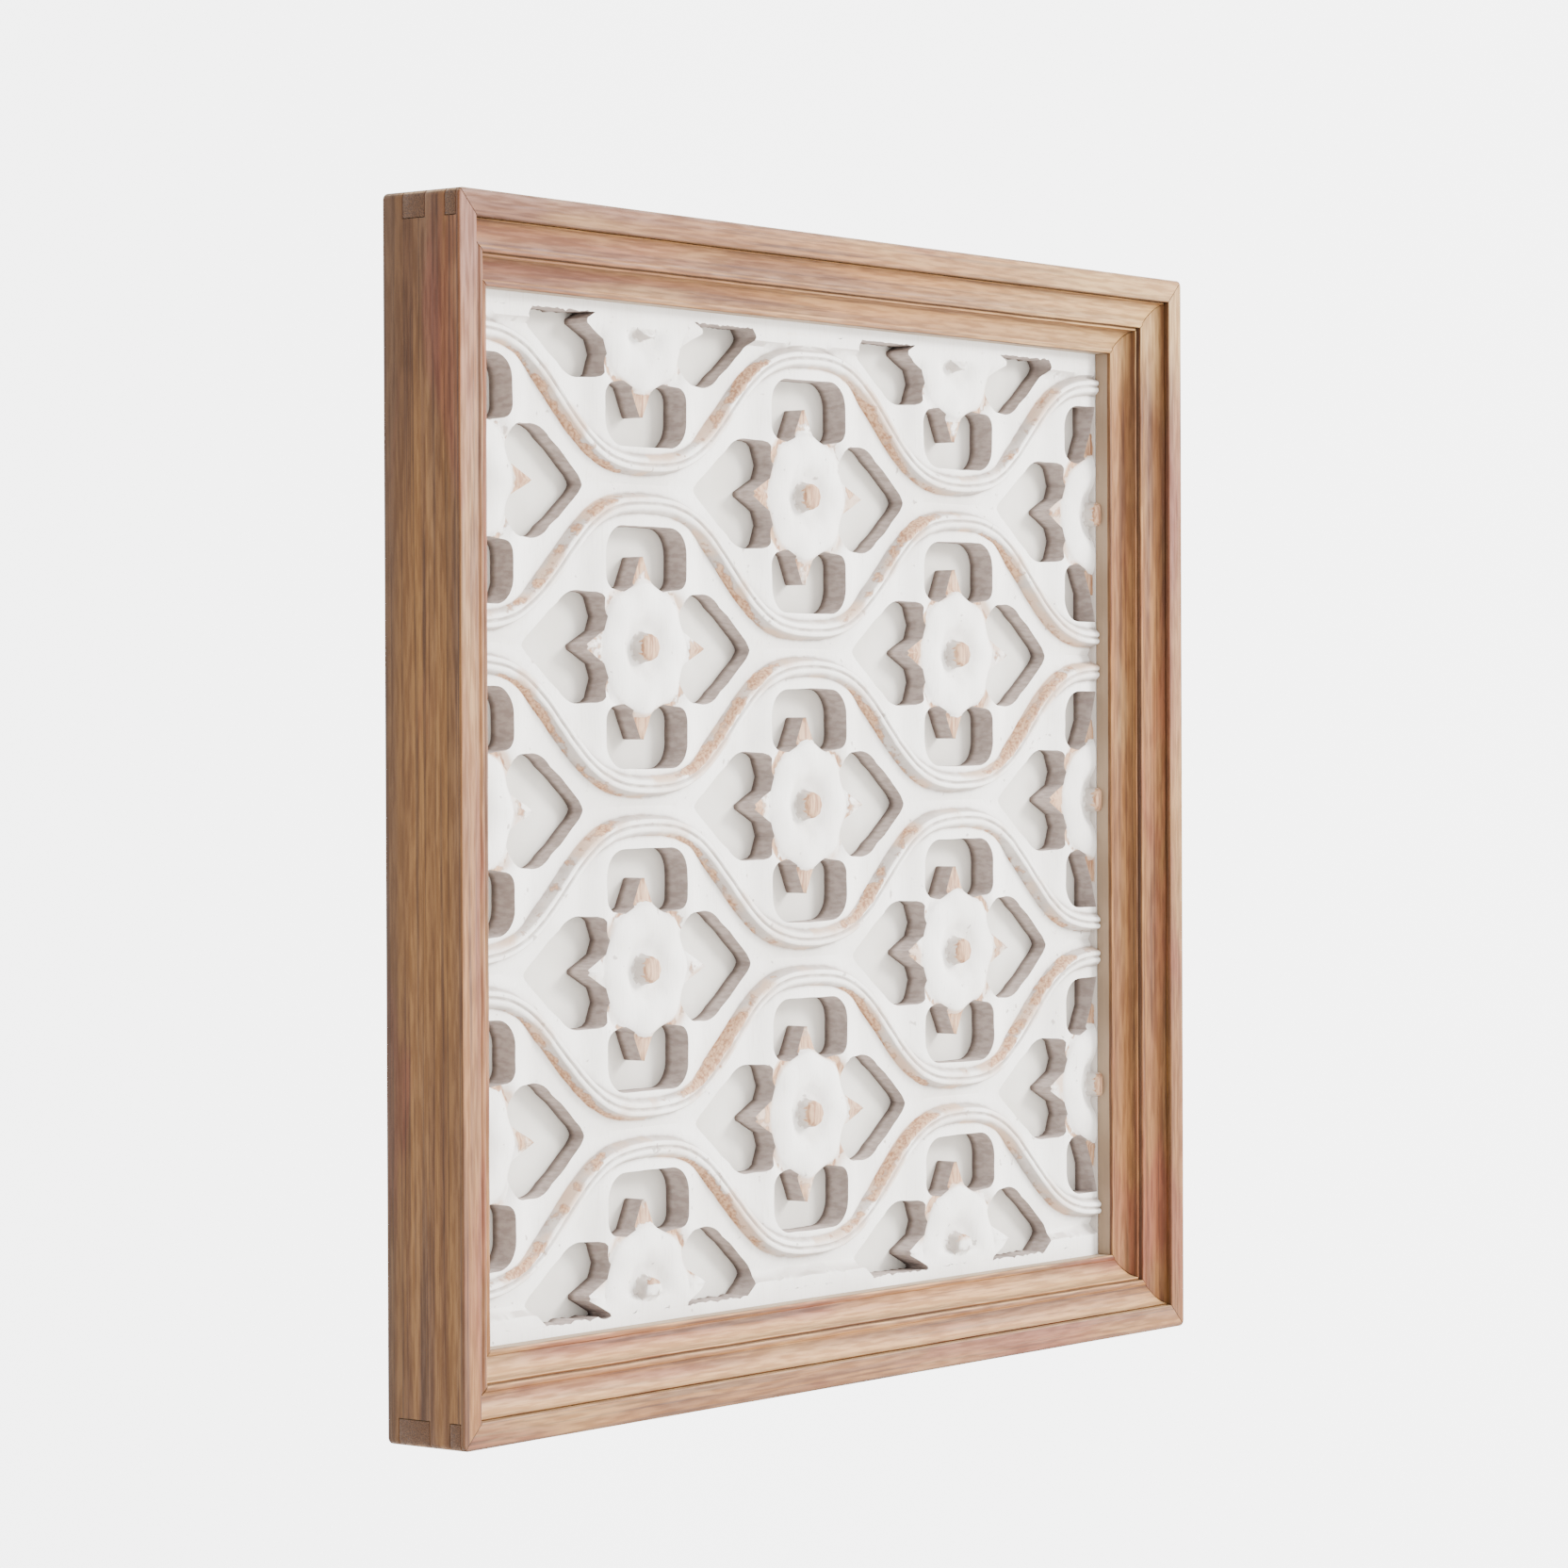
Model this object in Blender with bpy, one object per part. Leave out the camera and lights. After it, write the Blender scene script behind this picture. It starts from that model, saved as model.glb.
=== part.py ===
"""Carved fret panel in a finger jointed wooden frame with a stepped inner moulding.

Metres, Z up. The front faces -Y. The origin is on the back face of the top board, at the middle of its
length, where the frame meets the wall that it hangs on.
"""

import math

import bmesh
import bpy
from mathutils import Vector
from mathutils.geometry import delaunay_2d_cdt

# Outside of the frame, seen from the front
FRAME_WIDTH = 0.600
FRAME_HEIGHT = 0.575
FIT_GAP = 0.0003

# Outer boards, joined at the corners by fingers behind a thin mitred front
BOARD_THICKNESS = 0.0124
CORNER_RADIUS = 0.003
ARRIS_RADIUS = 0.0008
MITRE_DEPTH = 0.0025
TOP_BACK_FINGER = 0.0122
TOP_RAIL_FINGER = 0.0138
TOP_MIDDLE_FINGER = 0.0120
BOTTOM_BACK_FINGER = 0.0068
BOTTOM_RAIL_FINGER = 0.0192
BOTTOM_MIDDLE_FINGER = 0.0120

# Inner moulding: two coves that step down from the front strip to the carved panel
MOULDING_SET_BACK = 0.0026
MOULDING_EDGE = 0.0006
OUTER_COVE_WIDTH = 0.0104
OUTER_COVE_DROP = 0.0070
INNER_COVE_WIDTH = 0.0096
INNER_COVE_DROP = 0.0082
BEAD_WIDTH = 0.0024
BEAD_RISE = 0.0005
GROOVE_WIDTH = 0.0012
GROOVE_DROP = 0.0022
SIGHT_WALL_HEIGHT = 0.0097
COVE_STEPS = 6

# Carved panel and the backing board behind it
PANEL_THICKNESS = 0.0145
CARVING_SIDE_MARGIN = 0.0013
CARVING_END_MARGIN = 0.0055
CARVING_EDGE = 0.0010
BACKING_THICKNESS = 0.0024
BACKING_SET_IN = 0.0002

# Repeat of the carved pattern: ogee cells in a half drop, one flower in each
REPEAT_WIDTH = 0.130
REPEAT_HEIGHT = 0.156
PATTERN_LIFT = 0.0040
FLOWER_DROP = 0.0012

# Wavy double ribbed bands between the cells
BAND_WIDTH = 0.0096
BAND_RIB_SPACING = 0.0050
BAND_RISE = 0.0017
BAND_GROOVE = 0.0009
NECK_HEIGHT = 0.0185
CREST_FULLNESS = 0.085
BAND_STEPS = 20

# Field of a cell, which falls from the flower towards the necks between cells
FIELD_SINK = 0.0054
FIELD_CREASE = 0.40
FIELD_FALL_START = 0.030
FIELD_FALL_END = 0.048

# Flower: a lobed disc with a hollow middle and a boss, drawn for the repeat above
FLOWER_RADIUS = 0.0315
FLOWER_LOBE = 0.025
BOSS_RADIUS = 0.0062
BOSS_RISE = 0.0034
HOLLOW_RADIUS = 0.0100
HOLLOW_SINK = 0.0042
PETAL_RADIUS = 0.0210
PETAL_RISE = 0.0003
RIM_WIDTH = 0.0016
RIM_SINK = 0.0012
SEPAL_REACH = 0.0438
SEPAL_SINK = 0.0027
SIDE_SEPAL_SINK = 0.0010
SEPAL_TIP_WIDTH = 0.0024
BRIDGE_REACH = 0.041
RIM_ANGLES = (0, 15, 29, 45, 61, 75)

# Pierced openings round each flower
CRESCENT_WIDTH = 0.062
CRESCENT_FOOT = 0.0283
CRESCENT_TOP = 0.0588
CRESCENT_TOP_RADIUS = 0.013
CRESCENT_FOOT_RADIUS = 0.007
SPADE_TIP = 0.0873
SPADE_SHOULDER = 0.0842
SPADE_SHOULDER_HEIGHT = 0.0043
SPADE_LOBE_CENTRE = 0.048
SPADE_LOBE_HEIGHT = 0.0083
SPADE_LOBE_RADIUS = 0.019
SPADE_NECK = 0.0308
SPADE_NECK_HEIGHT = 0.0242
SPADE_HEEL = 0.0368
SPADE_HEEL_HEIGHT = 0.0268

# Places that follow from the sizes
MOULDING_START = BOARD_THICKNESS + FIT_GAP
OUTER_BEAD_DEPTH = MOULDING_SET_BACK + OUTER_COVE_DROP - BEAD_RISE
INNER_COVE_START = OUTER_BEAD_DEPTH + GROOVE_DROP + MOULDING_EDGE
INNER_BEAD_DEPTH = INNER_COVE_START + INNER_COVE_DROP - BEAD_RISE
MOULDING_BACK = INNER_BEAD_DEPTH + SIGHT_WALL_HEIGHT
MOULDING_WIDTH = (
    OUTER_COVE_WIDTH + INNER_COVE_WIDTH + 2 * BEAD_WIDTH + GROOVE_WIDTH + 4 * MOULDING_EDGE
)
PANEL_FRONT = MOULDING_BACK + FIT_GAP
PANEL_BACK = PANEL_FRONT + PANEL_THICKNESS
BACKING_FRONT = PANEL_BACK + FIT_GAP
FRAME_DEPTH = BACKING_FRONT + BACKING_THICKNESS + BACKING_SET_IN

TOP = BOARD_THICKNESS / 2
BOTTOM = TOP - FRAME_HEIGHT
RIGHT = FRAME_WIDTH / 2
MIDDLE_HEIGHT = (TOP + BOTTOM) / 2
INSIDE_WIDTH = FRAME_WIDTH - 2 * MOULDING_START
INSIDE_HEIGHT = FRAME_HEIGHT - 2 * MOULDING_START
SIGHT_INSET = MOULDING_START + MOULDING_WIDTH
CARVED_HALF_WIDTH = RIGHT - SIGHT_INSET - CARVING_SIDE_MARGIN
CARVED_HALF_HEIGHT = FRAME_HEIGHT / 2 - SIGHT_INSET - CARVING_END_MARGIN

CREST_HEIGHT = REPEAT_HEIGHT / 2 - NECK_HEIGHT / 2
CUTTER_REACH = 0.010


def depth(distance):
    """The Y of a point this far behind the front of the frame."""
    return distance - FRAME_DEPTH


def clear_scene():
    for obj in list(bpy.data.objects):
        bpy.data.objects.remove(obj, do_unlink=True)


def material(name, colour, roughness):
    made = bpy.data.materials.new(name)
    made.use_nodes = True
    shader = made.node_tree.nodes["Principled BSDF"]
    shader.inputs["Base Color"].default_value = (*colour, 1)
    shader.inputs["Roughness"].default_value = roughness
    shader.inputs["Metallic"].default_value = 0
    return made


def add_object(name, bm, finish=None):
    """Turns a bmesh into an object. With no finish it is a cutter, which isn't rendered."""
    bmesh.ops.recalc_face_normals(bm, faces=bm.faces)
    mesh = bpy.data.meshes.new(name)
    bm.to_mesh(mesh)
    bm.free()
    obj = bpy.data.objects.new(name, mesh)
    bpy.context.scene.collection.objects.link(obj)
    if finish:
        mesh.materials.append(finish)
    else:
        obj.hide_render = True
        obj.display_type = "WIRE"
    return obj


def add_block(bm, low, high):
    """Adds a box between two corners and returns its vertices."""
    low, high = Vector(low), Vector(high)
    verts = bmesh.ops.create_cube(bm, size=1)["verts"]
    bmesh.ops.scale(bm, vec=high - low, verts=verts)
    bmesh.ops.translate(bm, vec=(low + high) / 2, verts=verts)
    return verts


def add_prism(bm, outline, front, back):
    """Adds an outline in X and Z, pulled from one depth to another."""
    face = bm.faces.new([bm.verts.new((x, depth(front), z)) for x, z in outline])
    pulled = bmesh.ops.extrude_face_region(bm, geom=[face])["geom"]
    verts = [item for item in pulled if isinstance(item, bmesh.types.BMVert)]
    bmesh.ops.translate(bm, vec=(0, back - front, 0), verts=verts)


def boolean(obj, cutter, operation):
    modifier = obj.modifiers.new(cutter.name, "BOOLEAN")
    modifier.operation = operation
    modifier.solver = "EXACT"
    modifier.object = cutter


# Outer boards


def frame_envelope():
    """The whole frame as one block with rounded outer corners and eased front and back arrises."""
    bm = bmesh.new()
    add_block(bm, (-RIGHT, depth(0), BOTTOM), (RIGHT, depth(FRAME_DEPTH), TOP))
    corners = [e for e in bm.edges if abs(e.verts[0].co.y - e.verts[1].co.y) > FRAME_DEPTH / 2]
    bmesh.ops.bevel(
        bm, geom=corners, offset=CORNER_RADIUS, segments=3, profile=0.5, affect="EDGES", material=-1
    )
    arrises = [e for e in bm.edges if abs(e.verts[0].co.y - e.verts[1].co.y) < FIT_GAP]
    bmesh.ops.bevel(
        bm, geom=arrises, offset=ARRIS_RADIUS, segments=2, profile=0.5, affect="EDGES", material=-1
    )
    return add_object("cutter_envelope", bm)


def finger_depths(end):
    """The depths where the fingers change over at the top or bottom corners, from the front."""
    if end == "top":
        fingers = (TOP_BACK_FINGER, TOP_RAIL_FINGER, TOP_MIDDLE_FINGER)
    else:
        fingers = (BOTTOM_BACK_FINGER, BOTTOM_RAIL_FINGER, BOTTOM_MIDDLE_FINGER)
    back = FRAME_DEPTH - fingers[0]
    rail = back - fingers[1]
    middle = rail - fingers[2]
    return back, rail, middle


def board_blank(name, low, high, inner_edge, finish):
    """A plain board with its inner front arris eased, before its joints are cut."""
    bm = bmesh.new()
    add_block(bm, low, high)
    long_edges = [
        edge
        for edge in bm.edges
        if all(abs(v.co.y - depth(0)) < FIT_GAP and inner_edge(v.co) for v in edge.verts)
    ]
    bmesh.ops.bevel(
        bm, geom=long_edges, offset=ARRIS_RADIUS, segments=2, profile=0.5, affect="EDGES", material=-1
    )
    return add_object(name, bm, finish)


def rail(name, end, finish):
    """The top or bottom board: its fingers are the second and fourth from the back."""
    up = 1 if end == "top" else -1
    outer = TOP if end == "top" else BOTTOM
    inner = outer - up * BOARD_THICKNESS
    low, high = sorted((outer, inner))
    board = board_blank(
        name,
        (-RIGHT, depth(0), low),
        (RIGHT, depth(FRAME_DEPTH), high),
        lambda co: abs(co.z - inner) < FIT_GAP,
        finish,
    )
    back, second, third = finger_depths(end)
    notches = bmesh.new()
    wedges = bmesh.new()
    for side in (-1, 1):
        shoulder = side * (RIGHT - BOARD_THICKNESS - FIT_GAP)
        beyond = side * (RIGHT + CUTTER_REACH)
        x_low, x_high = sorted((shoulder, beyond))
        for front, rear in ((back - FIT_GAP, FRAME_DEPTH + CUTTER_REACH), (third - FIT_GAP, second + FIT_GAP)):
            add_block(
                notches,
                (x_low, depth(front), low - CUTTER_REACH),
                (x_high, depth(rear), high + CUTTER_REACH),
            )
        mitre = [
            (side * (RIGHT + CUTTER_REACH - FIT_GAP), outer + up * CUTTER_REACH),
            (side * (RIGHT - BOARD_THICKNESS - CUTTER_REACH - FIT_GAP), inner - up * CUTTER_REACH),
            (side * (RIGHT + 2 * CUTTER_REACH), inner - up * CUTTER_REACH),
            (side * (RIGHT + 2 * CUTTER_REACH), outer + up * CUTTER_REACH),
        ]
        add_prism(wedges, mitre, -CUTTER_REACH, MITRE_DEPTH)
    boolean(board, add_object("cutter_notches_" + name, notches), "DIFFERENCE")
    boolean(board, add_object("cutter_mitres_" + name, wedges), "DIFFERENCE")
    return board


def stile(name, side, finish):
    """The left or right board: its fingers are the first and third from the back."""
    outer = side * RIGHT
    inner = side * (RIGHT - BOARD_THICKNESS)
    low, high = sorted((outer, inner))
    board = board_blank(
        name,
        (low, depth(0), BOTTOM),
        (high, depth(FRAME_DEPTH), TOP),
        lambda co: abs(co.x - inner) < FIT_GAP,
        finish,
    )
    notches = bmesh.new()
    wedges = bmesh.new()
    for end, edge, up in (("top", TOP, 1), ("bottom", BOTTOM, -1)):
        back, second, third = finger_depths(end)
        shoulder = edge - up * (BOARD_THICKNESS + FIT_GAP)
        z_low, z_high = sorted((shoulder, edge + up * CUTTER_REACH))
        for front, rear in ((second, back), (MITRE_DEPTH - FIT_GAP, third)):
            add_block(
                notches,
                (low - CUTTER_REACH, depth(front), z_low),
                (high + CUTTER_REACH, depth(rear), z_high),
            )
        mitre = [
            (side * (RIGHT + CUTTER_REACH), edge + up * CUTTER_REACH),
            (side * (RIGHT - BOARD_THICKNESS - CUTTER_REACH), edge - up * (BOARD_THICKNESS + CUTTER_REACH)),
            (side * (RIGHT - BOARD_THICKNESS - 2 * CUTTER_REACH), edge - up * (BOARD_THICKNESS + CUTTER_REACH)),
            (side * (RIGHT - BOARD_THICKNESS - 2 * CUTTER_REACH), edge + up * CUTTER_REACH),
        ]
        add_prism(wedges, mitre, -CUTTER_REACH, MITRE_DEPTH)
    boolean(board, add_object("cutter_notches_" + name, notches), "DIFFERENCE")
    boolean(board, add_object("cutter_mitres_" + name, wedges), "DIFFERENCE")
    return board


# Inner moulding


def cove(start, width, drop):
    """A hollow that starts steep and ends flat, as a quarter of an ellipse."""
    points = []
    for step in range(COVE_STEPS + 1):
        turn = math.radians(90) * step / COVE_STEPS
        points.append((start[0] + width * (1 - math.cos(turn)), start[1] + drop * math.sin(turn)))
    return points


def moulding_section():
    """The section as (distance from the moulding's outer side, depth behind the frame's front)."""
    edge = MOULDING_EDGE
    points = [(0, MOULDING_BACK), (0, MOULDING_SET_BACK + edge)]
    points += cove((edge, MOULDING_SET_BACK), OUTER_COVE_WIDTH, OUTER_COVE_DROP)
    bead = points[-1][0]
    points += [(bead + edge, OUTER_BEAD_DEPTH), (bead + edge + BEAD_WIDTH / 2, OUTER_BEAD_DEPTH - edge / 4)]
    points += [(bead + edge + BEAD_WIDTH, OUTER_BEAD_DEPTH + edge / 2)]
    groove = bead + edge + BEAD_WIDTH
    points += [(groove + edge / 4, OUTER_BEAD_DEPTH + GROOVE_DROP + edge)]
    points += [(groove + GROOVE_WIDTH, OUTER_BEAD_DEPTH + GROOVE_DROP)]
    points += cove((groove + GROOVE_WIDTH + edge, INNER_COVE_START), INNER_COVE_WIDTH, INNER_COVE_DROP)
    bead = points[-1][0]
    points += [(bead + edge, INNER_BEAD_DEPTH), (bead + edge + BEAD_WIDTH / 2, INNER_BEAD_DEPTH - edge / 4)]
    points += [(MOULDING_WIDTH - edge / 4, INNER_BEAD_DEPTH + edge / 4)]
    points += [(MOULDING_WIDTH, INNER_BEAD_DEPTH + edge), (MOULDING_WIDTH, MOULDING_BACK)]
    return points


def moulding(name, side, finish):
    """One mitred length of the moulding, pulled from its left or lower end to the other one."""
    bm = bmesh.new()
    verts = []
    for across, behind in moulding_section():
        inset = MOULDING_START + across
        if side in ("top", "bottom"):
            height = TOP - inset if side == "top" else BOTTOM + inset
            verts.append(bm.verts.new((-(RIGHT - inset - FIT_GAP), depth(behind), height)))
        else:
            place = RIGHT - inset if side == "right" else -(RIGHT - inset)
            verts.append(bm.verts.new((place, depth(behind), BOTTOM + inset + FIT_GAP)))
    pulled = bmesh.ops.extrude_face_region(bm, geom=[bm.faces.new(verts)])["geom"]
    for item in pulled:
        if not isinstance(item, bmesh.types.BMVert):
            continue
        if side in ("top", "bottom"):
            item.co.x = -item.co.x
        else:
            item.co.z = 2 * MIDDLE_HEIGHT - item.co.z
    return add_object(name, bm, finish)


# Pattern of the carving, in X and Z from the pattern's middle


def arc(centre, radius, start, end, steps):
    """Points along a circle from one angle to another, in degrees."""
    points = []
    for step in range(steps + 1):
        turn = math.radians(start + (end - start) * step / steps)
        points.append((centre[0] + radius * math.cos(turn), centre[1] + radius * math.sin(turn)))
    return points


def wave(across):
    """How far a band's middle line is above the middle of the row of cells below it."""
    turn = math.pi * across / REPEAT_WIDTH
    swing = CREST_HEIGHT - REPEAT_HEIGHT / 4
    shape = (1 + CREST_FULLNESS) * math.cos(turn) - CREST_FULLNESS * math.cos(3 * turn)
    return REPEAT_HEIGHT / 4 + swing * shape


def wave_slope(across):
    turn = math.pi * across / REPEAT_WIDTH
    swing = CREST_HEIGHT - REPEAT_HEIGHT / 4
    shape = 3 * CREST_FULLNESS * math.sin(3 * turn) - (1 + CREST_FULLNESS) * math.sin(turn)
    return swing * math.pi / REPEAT_WIDTH * shape


def row_shift(row):
    """Every other row of cells is moved along by half a repeat."""
    return REPEAT_WIDTH if row % 2 else 0


def rim_radius(angle):
    return FLOWER_RADIUS * (1 + FLOWER_LOBE * math.cos(math.radians(8 * angle)))


def rim_point(angle):
    radius = rim_radius(angle)
    return (radius * math.cos(math.radians(angle)), radius * math.sin(math.radians(angle)))


def ring(radius, angles):
    """A closed ring of points about a flower's middle."""
    return [(radius * math.cos(math.radians(a)), radius * math.sin(math.radians(a))) for a in angles]


def crescent():
    """The opening above a flower: an arch round the upper sepal."""
    half = CRESCENT_WIDTH / 2
    foot = CRESCENT_FOOT_RADIUS
    top = CRESCENT_TOP_RADIUS
    right = arc((half - foot, CRESCENT_FOOT + foot), foot, -90, 0, 2)
    right += arc((half - top, CRESCENT_TOP - top), top, 0, 90, 3)
    outer = right + [(-x, z) for x, z in reversed(right)]
    tip = SEPAL_TIP_WIDTH / 2
    inner = [rim_point(119), rim_point(105), (-tip, SEPAL_REACH), (tip, SEPAL_REACH)]
    return outer + inner + [rim_point(75), rim_point(61)]


def spade():
    """The opening on the right of a flower: two lobes that run out to a point."""
    upper = [(SPADE_NECK, SPADE_NECK_HEIGHT), (SPADE_HEEL, SPADE_HEEL_HEIGHT)]
    upper += arc((SPADE_LOBE_CENTRE, SPADE_LOBE_HEIGHT), SPADE_LOBE_RADIUS, 98, 42, 3)
    upper += [(SPADE_SHOULDER, SPADE_SHOULDER_HEIGHT)]
    outer = upper + [(SPADE_TIP, 0)] + [(x, -z) for x, z in reversed(upper)]
    tip = SEPAL_TIP_WIDTH / 2
    inner = [rim_point(-29), rim_point(-15), (SEPAL_REACH, -tip), (SEPAL_REACH, tip)]
    return outer + inner + [rim_point(15), rim_point(29)]


def openings():
    """The four openings round one flower."""
    above, right = crescent(), spade()
    below = [(x, -z) for x, z in above]
    left = [(-x, z) for x, z in right]
    return [above, below, right, left]


def flower_rings():
    """Closed lines about a flower's middle, from the boss out to the rim."""
    eighths = [45 * n for n in range(8)]
    rim = [quarter + a for quarter in (0, 90, 180, 270) for a in RIM_ANGLES]
    lobes = [rim_point(a) for a in rim]
    shrink = 1 - RIM_WIDTH / FLOWER_RADIUS
    rings = [ring(r, eighths) for r in (BOSS_RADIUS * 0.78, BOSS_RADIUS, HOLLOW_RADIUS, PETAL_RADIUS)]
    return rings + [[(x * shrink, z * shrink) for x, z in lobes], lobes]


def flower_centres():
    """The flowers whose cells reach into the carved window."""
    centres = []
    rows = math.ceil(2 * CARVED_HALF_HEIGHT / REPEAT_HEIGHT) + 1
    columns = math.ceil(CARVED_HALF_WIDTH / REPEAT_WIDTH) + 1
    for row in range(-rows, rows + 1):
        for column in range(-columns, columns + 1):
            centre = (column * REPEAT_WIDTH, row * REPEAT_HEIGHT / 2 - FLOWER_DROP)
            near = abs(centre[0]) < CARVED_HALF_WIDTH + SPADE_TIP
            near = near and abs(centre[1] + PATTERN_LIFT) < CARVED_HALF_HEIGHT + CRESCENT_TOP
            if (row + column) % 2 == 0 and near:
                centres.append(centre)
    return centres


def band_lines(row):
    """The five lines along the band above a row: its feet, its two ribs and the groove between."""
    reach = CARVED_HALF_WIDTH + REPEAT_WIDTH / 2
    step = 2 * REPEAT_WIDTH / BAND_STEPS
    count = math.ceil(reach / step)
    lines = []
    for offset in (-BAND_WIDTH / 2, -BAND_RIB_SPACING / 2, 0, BAND_RIB_SPACING / 2, BAND_WIDTH / 2):
        line = []
        for n in range(-count, count + 1):
            across = n * step
            slope = wave_slope(across - row_shift(row))
            length = math.hypot(1, slope)
            height = row * REPEAT_HEIGHT / 2 + wave(across - row_shift(row))
            line.append((across - offset * slope / length, height + offset / length))
        lines.append(line)
    return lines


def blend(low, high, share):
    share = min(max(share, 0), 1)
    return low + (high - low) * share * share * (3 - 2 * share)


def along(points, place):
    """Reads a height off a section given as (place, height) pairs."""
    for (a, first), (b, second) in zip(points, points[1:]):
        if place <= b:
            return first + (second - first) * max(place - a, 0) / (b - a)
    return points[-1][1]


def on_sepal(across, height):
    """Whether a point is on one of the four pointed leaves under the flower's rim."""
    out, side = max(abs(across), abs(height)), min(abs(across), abs(height))
    base, width = rim_point(15)
    run = (SEPAL_REACH - out) / (SEPAL_REACH - base)
    edge = SEPAL_TIP_WIDTH / 2 + (width - SEPAL_TIP_WIDTH / 2) * run
    return out <= SEPAL_REACH + FIT_GAP and side <= edge + FIT_GAP


def relief(x, z):
    """How far the carving stands above the panel's face, or below it where negative."""
    row = math.floor(2 * z / REPEAT_HEIGHT)
    while z > row * REPEAT_HEIGHT / 2 + wave(x - row_shift(row)):
        row += 1
    local_z = z - row * REPEAT_HEIGHT / 2
    local_x = (x - row_shift(row) + REPEAT_WIDTH) % (2 * REPEAT_WIDTH) - REPEAT_WIDTH
    flower_z = local_z + FLOWER_DROP
    reach = math.hypot(local_x, flower_z)
    angle = math.degrees(math.atan2(flower_z, local_x))
    lift = wave(local_x)
    fall = blend(0, FIELD_SINK, (abs(local_x) - FIELD_FALL_START) / (FIELD_FALL_END - FIELD_FALL_START))
    field = -fall * (1 - FIELD_CREASE * min(abs(local_z) / (lift - BAND_WIDTH / 2), 1))
    if reach < rim_radius(angle) + FIT_GAP / 2:
        share = reach * FLOWER_RADIUS / rim_radius(angle)
        section = [
            (0, BOSS_RISE),
            (BOSS_RADIUS * 0.78, BOSS_RISE),
            (BOSS_RADIUS, -HOLLOW_SINK),
            (HOLLOW_RADIUS, -HOLLOW_SINK),
            (PETAL_RADIUS, PETAL_RISE),
            (FLOWER_RADIUS - RIM_WIDTH, -RIM_SINK),
            (FLOWER_RADIUS, -SEPAL_SINK),
        ]
        return along(section, share)
    if on_sepal(local_x, flower_z):
        return -SIDE_SEPAL_SINK if abs(local_x) > abs(flower_z) else -SEPAL_SINK
    if reach < BRIDGE_REACH:
        return blend(-SEPAL_SINK, field, (reach - FLOWER_RADIUS) / (BRIDGE_REACH - FLOWER_RADIUS))
    away = (lift - abs(local_z)) / math.hypot(1, wave_slope(local_x))
    section = [(0, BAND_RISE - BAND_GROOVE), (BAND_RIB_SPACING / 2, BAND_RISE), (BAND_WIDTH / 2, field)]
    return along(section, away)


# Carved panel


def inside(point, outline):
    """Whether a point is inside a closed outline."""
    x, z = point
    found = False
    for (ax, az), (bx, bz) in zip(outline, outline[1:] + outline[:1]):
        if (az > z) != (bz > z) and x < ax + (bx - ax) * (z - az) / (bz - az):
            found = not found
    return found


def clipped(a, b, half_width, low, high):
    """The stretch of a line that is inside the carved window, or None."""
    start, end = 0.0, 1.0
    for first, second, least, most in ((a[0], b[0], -half_width, half_width), (a[1], b[1], low, high)):
        change = second - first
        if change == 0:
            if not least <= first <= most:
                return None
            continue
        enter, leave = sorted(((least - first) / change, (most - first) / change))
        start, end = max(start, enter), min(end, leave)
    if start >= end:
        return None
    return [(a[0] + (b[0] - a[0]) * t, a[1] + (b[1] - a[1]) * t) for t in (start, end)]


def rectangle(half_width, low, high):
    return [(-half_width, low), (half_width, low), (half_width, high), (-half_width, high)]


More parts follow.
